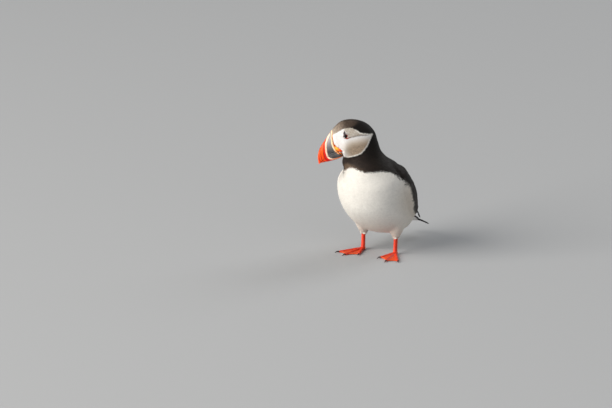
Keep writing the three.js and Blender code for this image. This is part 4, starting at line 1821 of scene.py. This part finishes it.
@dataclass
class Tail:
    """The tail's sixteen feathers, spread a little."""

    root: Pair = (-68, 38)
    length: float = 50.0
    droop: float = math.radians(25)
    root_half: float = 11.0
    half: float = 24.0
    count: int = 16
    vane_half: float = 4.4
    roll: float = 0.5
    knots: int = 5
    start: float = -0.25
    covert_count: int = 30
    covert_reach: float = 0.52
    covert_half: float = 3.6

    def place(self, along: Array, across: Array) -> Array:
        """Places of the tail's upper surface.

        Args:
            along: Shares of its length.
            across: Shares of its half width.

        Returns:
            The places.
        """
        way = np.array([-math.cos(self.droop), -math.sin(self.droop)]) * self.length
        half = mix(self.root_half, self.half, ease(along, 0, 0.75)) * mix(1, 0.9, ease(along, 0.75, 1))
        sag = 0.16 * half * across**2 * mix(0.4, 1, along)
        reach = along - 0.1 * along * across**2
        x = half * across
        return np.stack([x, -(self.root[0] + way[0] * reach), self.root[1] + way[1] * reach - sag], -1)

    def build(self) -> None:
        """Builds the tail."""
        rng = np.random.default_rng(SEED + 2)
        rank = np.linspace(-1, 1, self.count)
        y = np.linspace(0, 1, self.knots)[None]
        reach = 0.985 - 0.015 * rng.random(self.count)
        along = mix(self.start, reach[:, None], y)
        across = rank[:, None] * mix(0.55, 0.8, y)
        spine = self.place(along, across)
        side = self.place(along, across + 0.05) - self.place(along, across - 0.05)
        out = unit(np.cross(side, np.gradient(spine, axis=1)))
        out = out * np.sign(out[..., 2:3])
        spine = spine + out * (0.9 - 1.5 * np.abs(rank))[:, None, None]
        colours = linear(Tint.QUILL) * rng.uniform(0.9, 1.3, self.count)[:, None]
        roots = np.stack([spread(rank), np.full(self.count, 0.5)], -1)
        lay = Lay(
            spine, out, np.full(self.count, self.vane_half), np.zeros(self.count), colours, roots,
            self.roll * np.sign(rank), tip_tone=1.4, root_tone=0.8,
        )
        made = self.make("tail_feathers", lay, Vane.blade(16, 6, 2.0, 0.25), FLIGHT_PLUMAGE)
        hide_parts("tail")
        lay = self.coverts(1, Tint.BLACK, rng)
        self.make("upper_tail_coverts", lay, Vane.blade(12, 6, 1.4), BLACK_PLUMAGE)
        lay = self.coverts(-1, Tint.WHITE, rng)
        self.make("under_tail_coverts", lay, Vane.plume(17, rng, 0.5, 1.0), WHITE_PLUMAGE)

    def make(self, name: str, lay: Lay, vane: Vane, finish: Plumage) -> Piece:
        """Makes a piece of one kind of feather."""
        return piece(name, lay.sheet(vane, 0.4).mesh(name), finish.make())

    def coverts(self, upward: int, tint: Tint, rng: Random) -> Lay:
        """The soft feathers that run from the rump over the tail's root.

        Args:
            upward: 1 for those above the tail, -1 for those under it.
            tint: Their colour.
            rng: The random draws.

        Returns:
            The feathers.
        """
        count = self.covert_count
        rank = np.linspace(-1, 1, count) + rng.uniform(-0.03, 0.03, count)
        angle = 0.45 * rank if upward > 0 else math.pi - 1.3 * rank
        root = FORM.point(np.full(count, 1.1), angle, -0.6)
        middle = FORM.point(np.full(count, 0.1), angle, 0.5)
        reach = self.covert_reach - 0.16 * rng.random(count)
        end = self.place(reach, rank * 0.62) + np.array([0, 0, 1.3 * upward])
        weights = catmull(np.eye(3), np.linspace(0, 2, self.knots))
        spine = np.einsum("kc,cnd->nkd", weights, np.stack([root, middle, end]))
        along = unit(np.gradient(spine, axis=1))
        way = np.zeros((count, 1, 3))
        way[:, 0, 0], way[:, 0, 2] = (0.5 if upward > 0 else 1.3) * rank, upward
        out = unit(way - along * dot(way, along))
        colours = np.clip(linear(tint) * rng.uniform(0.9, 1.1, count)[:, None], 0, 0.95)
        roots = np.stack([spread(rank), np.full(count, 0.5)], -1)
        return Lay(
            spine, out, np.full(count, self.covert_half), np.full(count, 0.8), colours, roots,
            np.zeros(count), root_tone=0.9,
        )


WINGS = Wings()
FLIGHT_PLUMAGE = Plumage(
    "black_flight_feathers", "plumage_black", roughness=0.6, sheen=0.02, barb_mm=0.6, gloss=0.1
)


# ---- bill


class BareTint(str, Enum):
    """The colours of horn and bare skin, as sRGB hex."""

    CREAM = "F4D6BC"
    CREAM_CHIN = "F0762A"
    SLATE = "5E5B5B"
    SLATE_DARK = "464444"
    SLATE_BLOOM = "A39B9E"
    ORANGE = "FF6608"
    RED = "DE1604"
    # painted shade in the grooves of the red front
    GROOVE_SHADE = "8E0A06"
    RIDGE = "EFDDB4"
    RIDGE_EDGE = "F07A2C"
    RIDGE_LOW = "E88328"
    RIDGE_CHIN = "7A4426"
    # painted shade in the nostril's slit
    NOSTRIL_SHADE = "16120F"
    PUPIL = "020202"
    IRIS = "1C0E09"
    IRIS_STREAK = "38200F"
    EYE_RIM = "0E0806"
    LID = "C03A26"
    LID_UPPER = "2A1413"
    LID_INNER = "2E0F0C"
    LEG = "EE3E0E"
    LEG_DEEP = "D62A0A"
    WEB = "EE5A1C"
    # painted shade in the creases between the leg's broad scales
    CREASE = "9E2A12"
    SOLE = "B5532C"
    CLAW = "1B1715"


@dataclass(frozen=True)
class Horn:
    """Keratin horn, grown in plates and waxed by preening: smooth, faintly glossy, with growth lines."""

    name: str
    roughness: float = 0.36
    grain_mm: float = 0.7  # between growth lines
    coat: float = 0.12

    def make(self) -> Material:
        """Builds the material, whose colour is the marking at each place.

        Returns:
            The material.
        """
        finish = Finish(
            self.name, Roughness=self.roughness, IOR=1.55, Coat_Weight=self.coat, Coat_Roughness=0.22,
            Specular_IOR_Level=0.22,
        )
        place = finish.node("TexCoord").outputs["Object"]
        clouds = {"Vector": place, "Scale": 260.0, "Detail": 5.0, "Roughness": 0.6}
        finish.marked(finish.node("TexNoise", clouds).outputs[0], (0.3, 0.65), (0.84, 1.0))
        lines = {"Vector": place, "Scale": 1 / (self.grain_mm * MM), "Detail": 3.0}
        grain = finish.node("TexNoise", lines).outputs[0]
        low, high = self.roughness - 0.06, self.roughness + 0.12
        worn = finish.node("MapRange", {0: grain, 1: 0.3, 2: 0.7, 3: low, 4: high}).outputs[0]
        finish.wire(worn, "Roughness")
        lined = finish.node("Bump", {"Height": grain, "Distance": 0.06 * MM, "Strength": 0.3})
        finish.wire(lined.outputs[0], "Normal")
        return finish.material


def at_height(line: Sequence[Pair], above: Array) -> Array:
    """How far ahead a line of [ahead, above] lies at some heights."""
    rows = np.array(sorted(line, key=lambda p: p[1]), float)
    return np.interp(above, rows[:, 1], rows[:, 0])


@dataclass(frozen=True)
class Mandible:
    """One half of the bill, by the names and sizes of the CAD's own."""

    name: str
    node: str
    edge: Line
    mouth_share: float
    blunt: float


@dataclass
class Bill:
    """The bill: a pale ridge at its base, a slate plate, a cream band and a red, grooved front."""

    half_width: float = 8.4
    clear: float = 0.08
    rows: int = 240
    columns: int = 190
    base_back: float = 2.4
    face_bulge: float = 4.0  # how far the feathered face bows forward over the bill's base
    tuck: float = 1.7  # how far the horn draws in under the face
    ridge_rise: Pair = (0.75, 1.75)  # height and half width, as in the next four
    band_rise: Pair = (0.34, 1.0)
    band_groove: Pair = (0.16, 0.5)
    nostril_cut: Pair = (0.7, 0.42)
    groove_half: float = 0.62
    groove_depths: tuple[float, ...] = (0.5, 0.46, 0.24)
    mouth: Line = (
        (17.4, -17.2), (22, -16.4), (30, -15.6), (38, -15.4), (44, -16.2), (48.5, -18), BILL_TIP,
    )
    halves: tuple[Mandible, ...] = (
        Mandible(
            "upper_bill", "bill_upper",
            (BILL_TOP, (23, 7.5), (30.6, 4), (38, 0), (43.8, -5.1), (48.1, -11.2), BILL_TIP), 1.0, 0.95,
        ),
        Mandible(
            "lower_bill", "bill_lower",
            (BILL_CHIN, (26, -24.9), (33, -23.6), (39, -21.9), (43.5, -20.4), (47.6, -18.9)), 0.9, 0.8,
        ),
    )
    ridge: Line = (
        (11.6, 13.8), (15.6, 8.2), (18.3, 3.4), (20.9, -2.2), (21.9, -6.6), (22, -12.2), (20.4, -17.2),
        (17.4, -21.4),
    )
    band_front: Line = (
        (18.5, 9.9), (24.2, 5.4), (28.3, 1.6), (31, -2.9), (33.9, -9), (35.2, -14.3), (35.4, -16.2),
    )
    band_under: Line = ((34.3, -18.6), (31.4, -21.6), (26.2, -23.4), (19.6, -24.6))
    grooves: tuple[Line, ...] = (
        (
            (22.7, 10.1), (28.9, 5.3), (33.7, -0.4), (37.4, -7.3), (38.9, -12.5), (39.5, -17),
            (38, -19.8), (35, -23),
        ),
        (
            (28.5, 7.1), (34.1, 2.5), (39.1, -3.7), (42.8, -10.6), (44.2, -15.6), (43.3, -18.6),
            (41.2, -21.5),
        ),
        ((36, 2.5), (41.2, -2.9), (45.3, -9.2), (47.2, -14.6), (47, -17.6)),
    )
    nostril: Line = ((24.4, -13.9), (29.8, -13.2))

    def section(self, half: Mandible, along: Array, around: Array) -> Array:
        """Places of one half of the bill.

        Args:
            half: Which.
            along: From 0, inside the face, to 1 at the tip.
            around: From 0 to 0.8 over the outside, and on to 1 back across the mouth's side.

        Returns:
            Places of the bird's frame.
        """
        start = 0.04
        s = np.clip((along - start) / (0.98 - start), 0, 1)
        t = 0.985 * np.sin(s * math.pi / 2) ** 1.15
        edge = catmull(np.array(half.edge, float), t * (len(half.edge) - 1))
        mouth = catmull(np.array(self.mouth, float), t * half.mouth_share * (len(self.mouth) - 1))
        mouth = mouth + unit(edge - mouth) * self.clear
        wide = self.half_width * mix(1, 0.1, t**1.35)
        angle = np.clip(around / 0.8, 0, 1) * math.pi
        rise = np.sin(angle) ** half.blunt
        across = signed_power(np.cos(angle), 0.8) * wide * mix(0.88, 1, rise)
        back = np.clip((around - 0.8) / 0.2, 0, 1)
        across = np.where(around > 0.8, mix(-0.88, 0.88, back) * wide, across)
        rise = np.where(around > 0.8, 0.06 * np.sin(back * math.pi), rise)
        place = mouth + (edge - mouth) * rise[:, None]
        shrink = np.where((along < 1e-4) | (along > 0.9999), 0.0, 1.0)
        core = mouth + (edge - mouth) * 0.4
        place = core + (place - core) * shrink[:, None]
        place[:, 0] -= self.base_back * np.clip(1 - along / start, 0, 1)
        across = across * (1 - self.tuck / self.half_width * ease(self.under_face(place), -0.5, 0.5))
        return HEAD.outside(np.stack([place[:, 0], place[:, 1], across * shrink], -1))

    def under_face(self, flat: Array) -> Array:
        """How deep [ahead, above] lies under the face's bowed front edge.

        Args:
            flat: N by 2.

        Returns:
            N depths.
        """
        top, chin = np.array(BILL_TOP), np.array(BILL_CHIN)
        half = np.linalg.norm(top - chin) / 2
        radius = (half**2 + self.face_bulge**2) / (2 * self.face_bulge)
        down = unit(chin - top)
        ahead = np.array([-down[1], down[0]])
        centre = (top + chin) / 2 + ahead * (self.face_bulge - radius)
        return radius - np.linalg.norm(flat - centre, axis=-1)

    def relief(self, flat: Array, blade: Array) -> Array:
        """How far the horn stands out, in millimetres, at [ahead, above].

        Args:
            flat: N by 2.
            blade: How far each lies from the bill's mid-plane, from 0 to 1.

        Returns:
            N heights.
        """
        from_band, beside_band = line_distance(flat, self.band_front + self.band_under), 1.75
        ridge = self.ridge_rise[0] * bump_at(line_distance(flat, self.ridge), self.ridge_rise[1])
        ridge += 0.10 * ridge * wobble(np.c_[flat, blade], 1.1, 31)
        band = self.band_rise[0] * bump_at(from_band, self.band_rise[1])
        cut = -self.band_groove[0] * bump_at(from_band - beside_band, self.band_groove[1])
        for groove, deep in zip(self.grooves, self.groove_depths):
            cut -= deep * bump_at(line_distance(flat, groove), self.groove_half)
        cut -= self.nostril_cut[0] * bump_at(line_distance(flat, self.nostril), self.nostril_cut[1])
        return (ridge + band + cut) * mix(0.25, 1, ease(line_distance(flat, self.mouth), 0.2, 1.6))

    def colours(self, flat: Array) -> Array:
        """The horn's colour at [ahead, above].

        Args:
            flat: N by 2.

        Returns:
            N by 3, linear.
        """
        ahead, above = flat.T
        band = self.band_front + self.band_under
        past, low = ahead - at_height(self.band_front, above), ease(above, -2, -15)
        redness = np.clip(0.55 * low + 0.75 * ease(past, 6.5, 2), 0, 1)
        front = over(BareTint.ORANGE, BareTint.RED, redness)
        # Painted shade: the grooves cut into the red front are darkened along their lines.
        for groove in self.grooves:
            front = over(front, BareTint.GROOVE_SHADE, 0.75 * bump_at(line_distance(flat, groove), 0.65))
        smoke = 0.5 + 0.5 * wobble(np.c_[flat, above], 7, 33)
        plate = over(BareTint.SLATE, BareTint.SLATE_DARK, smoke)
        plate = over(plate, BareTint.SLATE_BLOOM, 0.85 * ease(above, -11, 4))
        behind = depth_inside(flat, [*band, (10, -22), (10, 14)])
        colour = over(plate, front, ease(-behind, -0.3, 0.3))
        cream = over(BareTint.CREAM, BareTint.CREAM_CHIN, ease(above, -19, -23.5))
        colour = over(colour, cream, ease(line_distance(flat, band), 1.3, 0.8))
        base = ahead - at_height(self.ridge, above)
        ridge = over(BareTint.RIDGE_EDGE, BareTint.RIDGE, ease(base, -1.1, 0.3))
        ridge = over(ridge, BareTint.RIDGE_LOW, 0.8 * ease(above, -9, -15))
        ridge = over(ridge, BareTint.RIDGE_CHIN, 0.75 * ease(above, -17.5, -21.5))
        colour = over(colour, ridge, ease(base, 1.9, 1.2))
        # Painted shade: the nostril's shallow slit is painted near black.
        return over(colour, BareTint.NOSTRIL_SHADE, bump_at(line_distance(flat, self.nostril), 0.4))

    def build(self) -> None:
        """Builds both halves."""
        for half in self.halves:
            shape = grid_solid(self.rows, self.columns, lambda a, b, h=half: self.section(h, a, b))
            mesh = as_mesh(half.name, shape)
            places, normals, _ = read_mesh(mesh)
            heads = HEAD.inside(places)
            flat = heads[:, :2]
            blade = ease(np.abs(heads[:, 2]), 0.25, 1.6)
            flank = ease(np.abs(normals @ HEAD.axes[2]), 0.12, 0.5)
            write_places(mesh, places + normals * (self.relief(flat, blade) * mix(0.45, 1, flank))[:, None])
            paint(mesh, self.colours(flat))
            made = piece(half.name, mesh, Horn("waxed_bill_horn").make())
            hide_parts(half.node)


@dataclass
class Rosette:
    """The ribbed, fleshy corner of the mouth, one on each side, along a line of [ahead, above, aside]."""

    line = ((20.6, -7.6, 7.4), (18.9, -11, 9.4), (16.7, -14.4, 11.2), (14, -17.2, 12.1))
    half: float = 2.0
    thick: float = 1.4
    ribs: int = 11
    rib_height: float = 0.055  # of its half width
    rows: int = 96
    columns: int = 48
    tones: tuple[tuple[float, str], ...] = (
        (0.0, "EE8A28"), (0.22, "F9B324"), (0.45, "F98414"), (0.72, "E8420E"), (1.0, "94200E"),
    )

    @classmethod
    def flat_line(cls) -> Line:
        """The line as [ahead, above]."""
        return tuple((ahead, above) for ahead, above, _ in cls.line)

    def build(self) -> None:
        """Builds both."""
        finish = Horn("gape_skin", roughness=0.42, grain_mm=0.4, coat=0.1).make()
        for side, hand in SIDES:
            shape = grid_solid(self.rows, self.columns, lambda a, b, k=side: self.shape(a, b, k))
            made = finished(f"rosette_{hand}", shape, finish)
            places, _, _ = read_mesh(made.data)
            paint(made.data, self.colours(HEAD.inside(places)[:, :2]))
            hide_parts(f"gape_{hand}")

    def shape(self, along: Array, around: Array, side: int) -> Array:
        """The rosette's places, at shares along it and round it.

        Args:
            along: Shares along.
            around: Shares round.
            side: 1 for the left, -1 for the right.

        Returns:
            The places.
        """
        line = np.array(self.line)
        last = len(line) - 1
        middle = catmull(line, along * last)
        way = unit(catmull(line, along * last + 0.1) - catmull(line, along * last - 0.1))
        facing = np.array([0.45, 0.0, 1.0])
        out = unit(facing - way * dot(way, facing))
        across = np.cross(way, out)
        swell = np.clip(np.sin(math.pi * along), 0, 1) ** 0.55
        rib = 1 + self.rib_height * np.cos(TAU * along * self.ribs) * swell
        turn = around * TAU
        place = middle + across * (np.cos(turn) * self.half * swell * rib)[:, None]
        place += out * (np.sin(turn) * self.thick * swell * rib)[:, None]
        return HEAD.outside(place * np.array([1, 1, side]))

    def colours(self, flat: Array) -> Array:
        """Its colour at [ahead, above], from the bill back to the mouth's corner.

        Args:
            flat: N by 2.

        Returns:
            N by 3, linear.
        """
        line = self.flat_line()
        start, way = np.array(line[0]), np.array(line[-1]) - np.array(line[0])
        share = np.clip((flat - start) @ way / (way @ way), 0, 1)
        stops = [stop for stop, _ in self.tones]
        tones = np.array([linear(tone) for _, tone in self.tones])
        return np.stack([np.interp(share, stops, tones[:, k]) for k in range(3)], -1)


# ---- eyes


@dataclass(frozen=True)
class EyeGlass:
    """Blown glass, painted behind: wet and clear, with a small sharp highlight."""

    name: str = "glass_eye"

    def make(self) -> Material:
        """Builds the material, whose colour is the marking at each place."""
        finish = Finish(self.name, Roughness=0.07, IOR=1.45, Specular_IOR_Level=0.35)
        finish.wire(finish.node("Attribute", attribute_name="Marking").outputs["Color"], "Base Color")
        return finish.material


@dataclass
class Eye:
    """An eyeball with its red ring and the two small horny plates beside it, one set on each side."""

    opening: Pair = (2.3, 2.15)
    ring: float = 0.4
    pupil: float = 1.3
    iris: float = 2.2
    streaks: int = 46
    cornea: float = 0.3

    def build(self, ground: Ground) -> None:
        """Builds both eyes.

        Args:
            ground: The coat's outer surface, which the plates lie on.
        """
        for side, hand in SIDES:
            self.ball(side, hand)
            self.lids(side, hand)
            for plate in PLATES:
                self.plate(ground, side, plate, f"{plate.name}_{hand}")

    def ball(self, side: int, hand: str) -> None:
        """The glass eye, with its iris and pupil.

        Args:
            side: 1 for the left, -1 for the right.
            hand: Left or right.
        """
        shape = bmesh.new()
        bmesh.ops.create_uvsphere(shape, u_segments=64, v_segments=48, radius=1.0)
        ball = form_places(shape)
        off = span(ball[:, :2]) * EYE_RADIUS
        bulge = self.cornea * ease(off, 2.6, 0.4) * (ball[:, 2] > 0)
        put(shape, EYE_SEATS[side].outside(ball * (EYE_RADIUS * 0.985 + bulge)[:, None]))
        made = finished(f"eyeball_{hand}", shape, EyeGlass().make())
        streak = 0.5 + 0.5 * np.sin(np.arctan2(ball[:, 1], ball[:, 0]) * self.streaks)
        iris = over(BareTint.IRIS, BareTint.IRIS_STREAK, streak * ease(off, self.pupil, self.iris))
        colour = over(BareTint.PUPIL, iris, ease(off, self.pupil - 0.1, self.pupil + 0.1))
        rim = ease(off, self.iris - 0.15, self.iris + 0.1)
        paint(made.data, over(colour, BareTint.EYE_RIM, rim))
        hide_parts(f"eye_{hand}")

    def lids(self, side: int, hand: str) -> None:
        """The bare red ring of the lids round the opening.

        Args:
            side: 1 for the left, -1 for the right.
            hand: Left or right.
        """
        shape = bmesh.new()
        major = 1.0
        upright = Matrix.Rotation(math.pi / 2, 4, "X")
        bmesh.ops.create_circle(shape, segments=16, radius=self.ring, matrix=upright)
        bmesh.ops.translate(shape, verts=shape.verts, vec=(major, 0, 0))
        bmesh.ops.spin(
            shape, geom=[*shape.verts, *shape.edges], cent=(0, 0, 0), axis=(0, 0, 1), angle=TAU,
            steps=72, use_merge=True,
        )
        bmesh.ops.remove_doubles(shape, verts=shape.verts, dist=10 * DOUBLE)
        at = form_places(shape)
        way = unit(at[:, :2])
        turn = np.arctan2(way[:, 1], way[:, 0])
        crinkle = 1 + 0.10 * np.sin(turn * 26) + 0.05 * np.sin(turn * 11 + 1)
        broad = mix(0.8, 1.25, ease(-way[:, 1] - 0.5 * way[:, 0], -0.6, 0.8))
        off = (span(at[:, :2]) - major) * crinkle * broad
        mean = (self.opening[0] + self.opening[1]) / 2 + self.ring
        seat = math.sqrt(EYE_RADIUS**2 - mean**2)
        plan = way * (np.array(self.opening) + self.ring * broad[:, None] + off[:, None])
        out = seat + 0.1 + at[:, 2] * crinkle * 0.8 - off * mean / seat
        put(shape, EYE_SEATS[side].outside(np.c_[plan, out]))
        finish = Horn("eye_ring_skin", 0.5, 0.3, 0.0).make()
        made = finished(f"eye_ring_{hand}", shape, finish)
        upper = ease(way[:, 1] + 0.5 * way[:, 0], -0.35, 0.45)
        colour = over(BareTint.LID, BareTint.LID_UPPER, 0.9 * upper)
        inner = ease(off, self.ring * 0.1, -self.ring * 0.9)
        paint(made.data, over(colour, BareTint.LID_INNER, inner))

    def plate(self, ground: Ground, side: int, plate: Plate, name: str) -> None:
        """Lays a horny plate on the lids.

        Args:
            ground: The surface that it lies on.
            side: 1 for the left eye, -1 for the right.
            plate: Its plan.
            name: The piece's name.
        """
        shape = bmesh.new()
        bmesh.ops.create_uvsphere(shape, u_segments=48, v_segments=24, radius=1.0)
        ball = form_places(shape)
        way = np.array(plate.end) - np.array(plate.start)
        across = np.array([-way[1], way[0]]) / np.linalg.norm(way)
        share = np.clip((ball[:, 0] + 1) / 2, 0, 1)
        wide = ball[:, 1] * plate.half * mix(1.0, 0.25, share**0.8)
        flat = np.array(plate.start) + way * share[:, None] + across * wide[:, None]
        start = HEAD.outside(np.c_[flat, np.full(len(flat), side * 25.0)])
        rest, out = ground.seen(start, HEAD.axes[2] * -side)
        lift = ball[:, 2] * plate.thick * mix(1.0, 0.7, share) + 0.05
        put(shape, rest + out * lift[:, None])
        made = finished(name, shape, Horn("eye_plate_horn", 0.5, 0.35, 0.0).make())
        tone = 0.5 + 0.5 * wobble(np.c_[flat, flat[:, 0]], 1.2, 41)
        paint(made.data, over(plate.dark, plate.light, tone))


# ---- legs


@dataclass(frozen=True)
class ScaledSkin:
    """Scaled leg skin, tanned and painted as in life: soft, slightly waxy, finely netted."""

    name: str = "scaled_leg_skin"
    scale_mm: float = 0.9

    def make(self) -> Material:
        """Builds the material, whose colour is the marking at each place.

        Returns:
            The material.
        """
        finish = Finish(self.name, Roughness=0.46, IOR=1.45, Coat_Weight=0.12, Coat_Roughness=0.3)
        place = finish.node("TexCoord").outputs["Object"]
        cells = {"Vector": place, "Scale": 1 / (self.scale_mm * MM)}
        net = finish.node("TexVoronoi", cells, feature="DISTANCE_TO_EDGE").outputs["Distance"]
        finish.marked(net, (0.0, 0.12), (0.78, 1.0))
        edge = finish.node("MapRange", {0: net, 1: 0.0, 2: 0.14}).outputs[0]
        netted = finish.node("Bump", {"Height": edge, "Distance": 0.12 * MM, "Strength": 0.6})
        finish.wire(netted.outputs[0], "Normal")
        return finish.material


@dataclass
class Leg:
    """The bare shank and webbed foot as one scaled skin, with its three claws."""

    voxel: float = 0.55
    smoothing: int = 4
    shank_swell: float = 0.3
    shank_ends: Pair = (-1.2, 3.0)  # how far the shank's foot and top are drawn out
    scute: float = 1.9  # between the broad scales down the front of the shank and along the toes
    scale: float = 0.9  # between the small ones elsewhere
    foot_forward: float = -1.5
    feet_apart: float = 49.0
    toe_out: float = math.radians(10)
    toes: tuple[float, ...] = (-27, 0, 24)  # which way each points, in degrees

    def build(self) -> None:
        """Builds both legs."""
        finish = ScaledSkin(scale_mm=self.scale).make()
        claw = Horn("claw_horn", 0.38, 0.5, 0.3).make()
        for side, hand in SIDES:
            mesh = self.joined(hand)
            places, normals, _ = read_mesh(mesh)
            lift, colours = self.scales(places, normals, side)
            write_places(mesh, places + normals * lift[:, None])
            paint(mesh, colours)
            made = piece(f"leg_{hand}", mesh, finish)
            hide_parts(f"shank_{hand}", f"foot_{hand}")
            for toe in ("inner", "middle", "outer"):
                self.claw(f"claw_{hand}_{toe}", claw)

    def joined(self, hand: str) -> Mesh:
        """Shank and foot remeshed as one.

        Args:
            hand: Left or right.

        Returns:
            The mesh.
        """
        whole = bmesh.new()
        shank = node_form(f"shank_{hand}")
        shank.normal_update()
        low, high = self.shank_ends
        for vert in shank.verts:
            vert.co += vert.normal * self.shank_swell * MM
            vert.co.z += high * MM if vert.co.z > 20 * MM else low * MM
        add_form(whole, shank)
        add_form(whole, node_form(f"foot_{hand}"))
        return one_skin("leg", whole, self.voxel, self.smoothing)

    def scales(self, places: Array, normals: Array, side: int) -> tuple[Array, Array]:
        """How far each place is raised into scales, and its colour.

        Args:
            places: N by 3.
            normals: The surface's, at each.
            side: 1 for the left, -1 for the right.

        Returns:
            N heights, and N by 3, linear.
        """
        x, _, z = places.T
        ball = np.array([side * self.feet_apart / 2, -self.foot_forward])
        turn = side * self.toe_out
        way = np.array([math.sin(turn), -math.cos(turn)])
        aside = np.array([-way[1], way[0]])
        local = places[:, :2] - ball
        ahead, across = local @ way, local @ aside * side
        shank = ease(z, 6.5, 9.5)
        facing = ease(normals[:, :2] @ way, 0.1, 0.6)
        rings = 0.5 - 0.5 * np.cos(z / self.scute * TAU + 0.6 * np.sin(x * 1.3))
        fine = np.abs(wobble(places, self.scale * 1.6, 51))
        lift = shank * mix(0.10 * fine, 0.15 * rings**0.5, facing)
        toe_near = np.full(len(places), 1e9)
        for bearing in self.toes:
            angle = math.radians(bearing)
            toe = np.array([math.cos(angle), math.sin(angle)])
            off = np.abs(ahead * toe[1] - across * toe[0])
            toe_near = np.minimum(toe_near, np.where(ahead > 0, off, np.hypot(ahead, across)))
        on_toe = ease(toe_near, 2.6, 1.6) * (1 - shank)
        reach = np.hypot(ahead, across)
        bands = 0.5 - 0.5 * np.cos(reach / (self.scute * 0.8) * TAU)
        above = ease(normals[:, 2], 0.1, 0.6)
        lift += (1 - shank) * above * mix(0.05 * fine, 0.12 * bands**0.5, on_toe)
        web = (1 - shank) * (1 - on_toe)
        colour = over(BareTint.LEG, BareTint.LEG_DEEP, 0.5 + 0.5 * wobble(places, 5, 52))
        colour = over(colour, BareTint.WEB, 0.7 * web)
        # Painted shade: the creases between the broad scales are darkened.
        crease = (1 - rings) * shank * facing + (1 - bands) * on_toe * above
        colour = over(colour, BareTint.CREASE, 0.35 * crease**3)
        sole = ease(-normals[:, 2], 0.3, 0.8) * ease(z, 3.5, 1.5)
        colour = over(colour, BareTint.SOLE, 0.7 * sole)
        return np.where(z < 0.9, 0.0, lift), colour

    def claw(self, node: str, finish: Material) -> None:
        """A claw, as the CAD's own made smooth."""
        made = finished(node.replace("claw", "nail"), node_form(node), finish)
        smooth = made.modifiers.new("smooth", "SUBSURF")
        smooth.levels = smooth.render_levels = 2
        paint(made.data, np.tile(linear(BareTint.CLAW), (len(made.data.vertices), 1)))
        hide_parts(node)


# ---- studio


@dataclass
class Studio:
    """A pale floor, soft light and the camera."""

    azimuth: float = math.radians(30)
    elevation: float = math.radians(15)
    distance: float = 4.545
    lens: float = 200.0
    aim_right: float = -97.0
    aim_up: float = 64.4
    floor_size: float = 6.0
    floor_tint: str = "ACAEB0"
    sky_tint: str = "E4E6E8"
    sky_strength: float = 0.36

    def build(self) -> None:
        """Builds the whole stage."""
        self.camera()
        self.floor()
        self.light("key", (-3.6, -5.8, 3.0), 6.0, 985, "FFFAF3")
        self.light("fill", (6.0, -5.4, 3.3), 6.0, 90, "EDF2FF")
        self.light("rim", (2.4, 6.0, 4.8), 4.2, 170, "FFFFFF")
        world = bpy.data.worlds.new("studio")
        world.use_nodes = True
        sky = world.node_tree.nodes["Background"]
        sky.inputs["Color"].default_value = (*linear(self.sky_tint), 1)
        sky.inputs["Strength"].default_value = self.sky_strength
        bpy.context.scene.world = world
        bpy.context.scene.view_settings.view_transform = "Standard"

    def camera(self) -> None:
        """Sets the camera at its angle, aimed at a point beside the bird."""
        s, c = math.sin(self.azimuth), math.cos(self.azimuth)
        se, ce = math.sin(self.elevation), math.cos(self.elevation)
        right, up = np.array([c, s, 0]), np.array([-s * se, c * se, ce])
        aim = to_row(right * self.aim_right + up * self.aim_up)
        data = bpy.data.cameras.new("camera")
        data.lens, data.sensor_width = self.lens, 36.0
        data.clip_end = 50
        made = placed("camera", data)
        made.location = Vector((aim + self.distance * np.array([s * ce, -c * ce, se])).tolist())
        made.rotation_euler = (math.pi / 2 - self.elevation, 0, self.azimuth)
        bpy.context.scene.camera = made

    def floor(self) -> None:
        """Lays the floor."""
        shape = bmesh.new()
        bmesh.ops.create_grid(shape, x_segments=2, y_segments=2, size=self.floor_size)
        made = placed("floor", as_mesh("floor", shape))
        paper = Finish("paper", Base_Color=(*linear(self.floor_tint), 1), Roughness=0.9)
        made.data.materials.append(paper.material)

    def light(
        self, name: str, place: tuple[float, float, float], size: float, watts: float, tint: str
    ) -> None:
        """Hangs a soft lamp that faces the bird.

        Args:
            name: Its name.
            place: Where it hangs, in metres.
            size: How wide it is.
            watts: How strong.
            tint: Its colour.
        """
        data = bpy.data.lights.new(name, "AREA")
        data.size, data.energy, data.color = size, watts, linear(tint)
        made = placed(name, data)
        made.location = place
        bird = Vector((0, 0, 0.1))
        made.rotation_euler = (bird - Vector(place)).to_track_quat("-Z", "Y").to_euler()


def main() -> None:
    """Builds every piece in order."""
    Studio().build()
    ground = Skin().build()
    Coat().build(ground)
    WINGS.build()
    Tail().build()
    Bill().build()
    Rosette().build()
    Eye().build(ground)
    Leg().build()


if __name__ == "__main__":
    logging.basicConfig(level=logging.INFO, format="%(message)s")
    main()
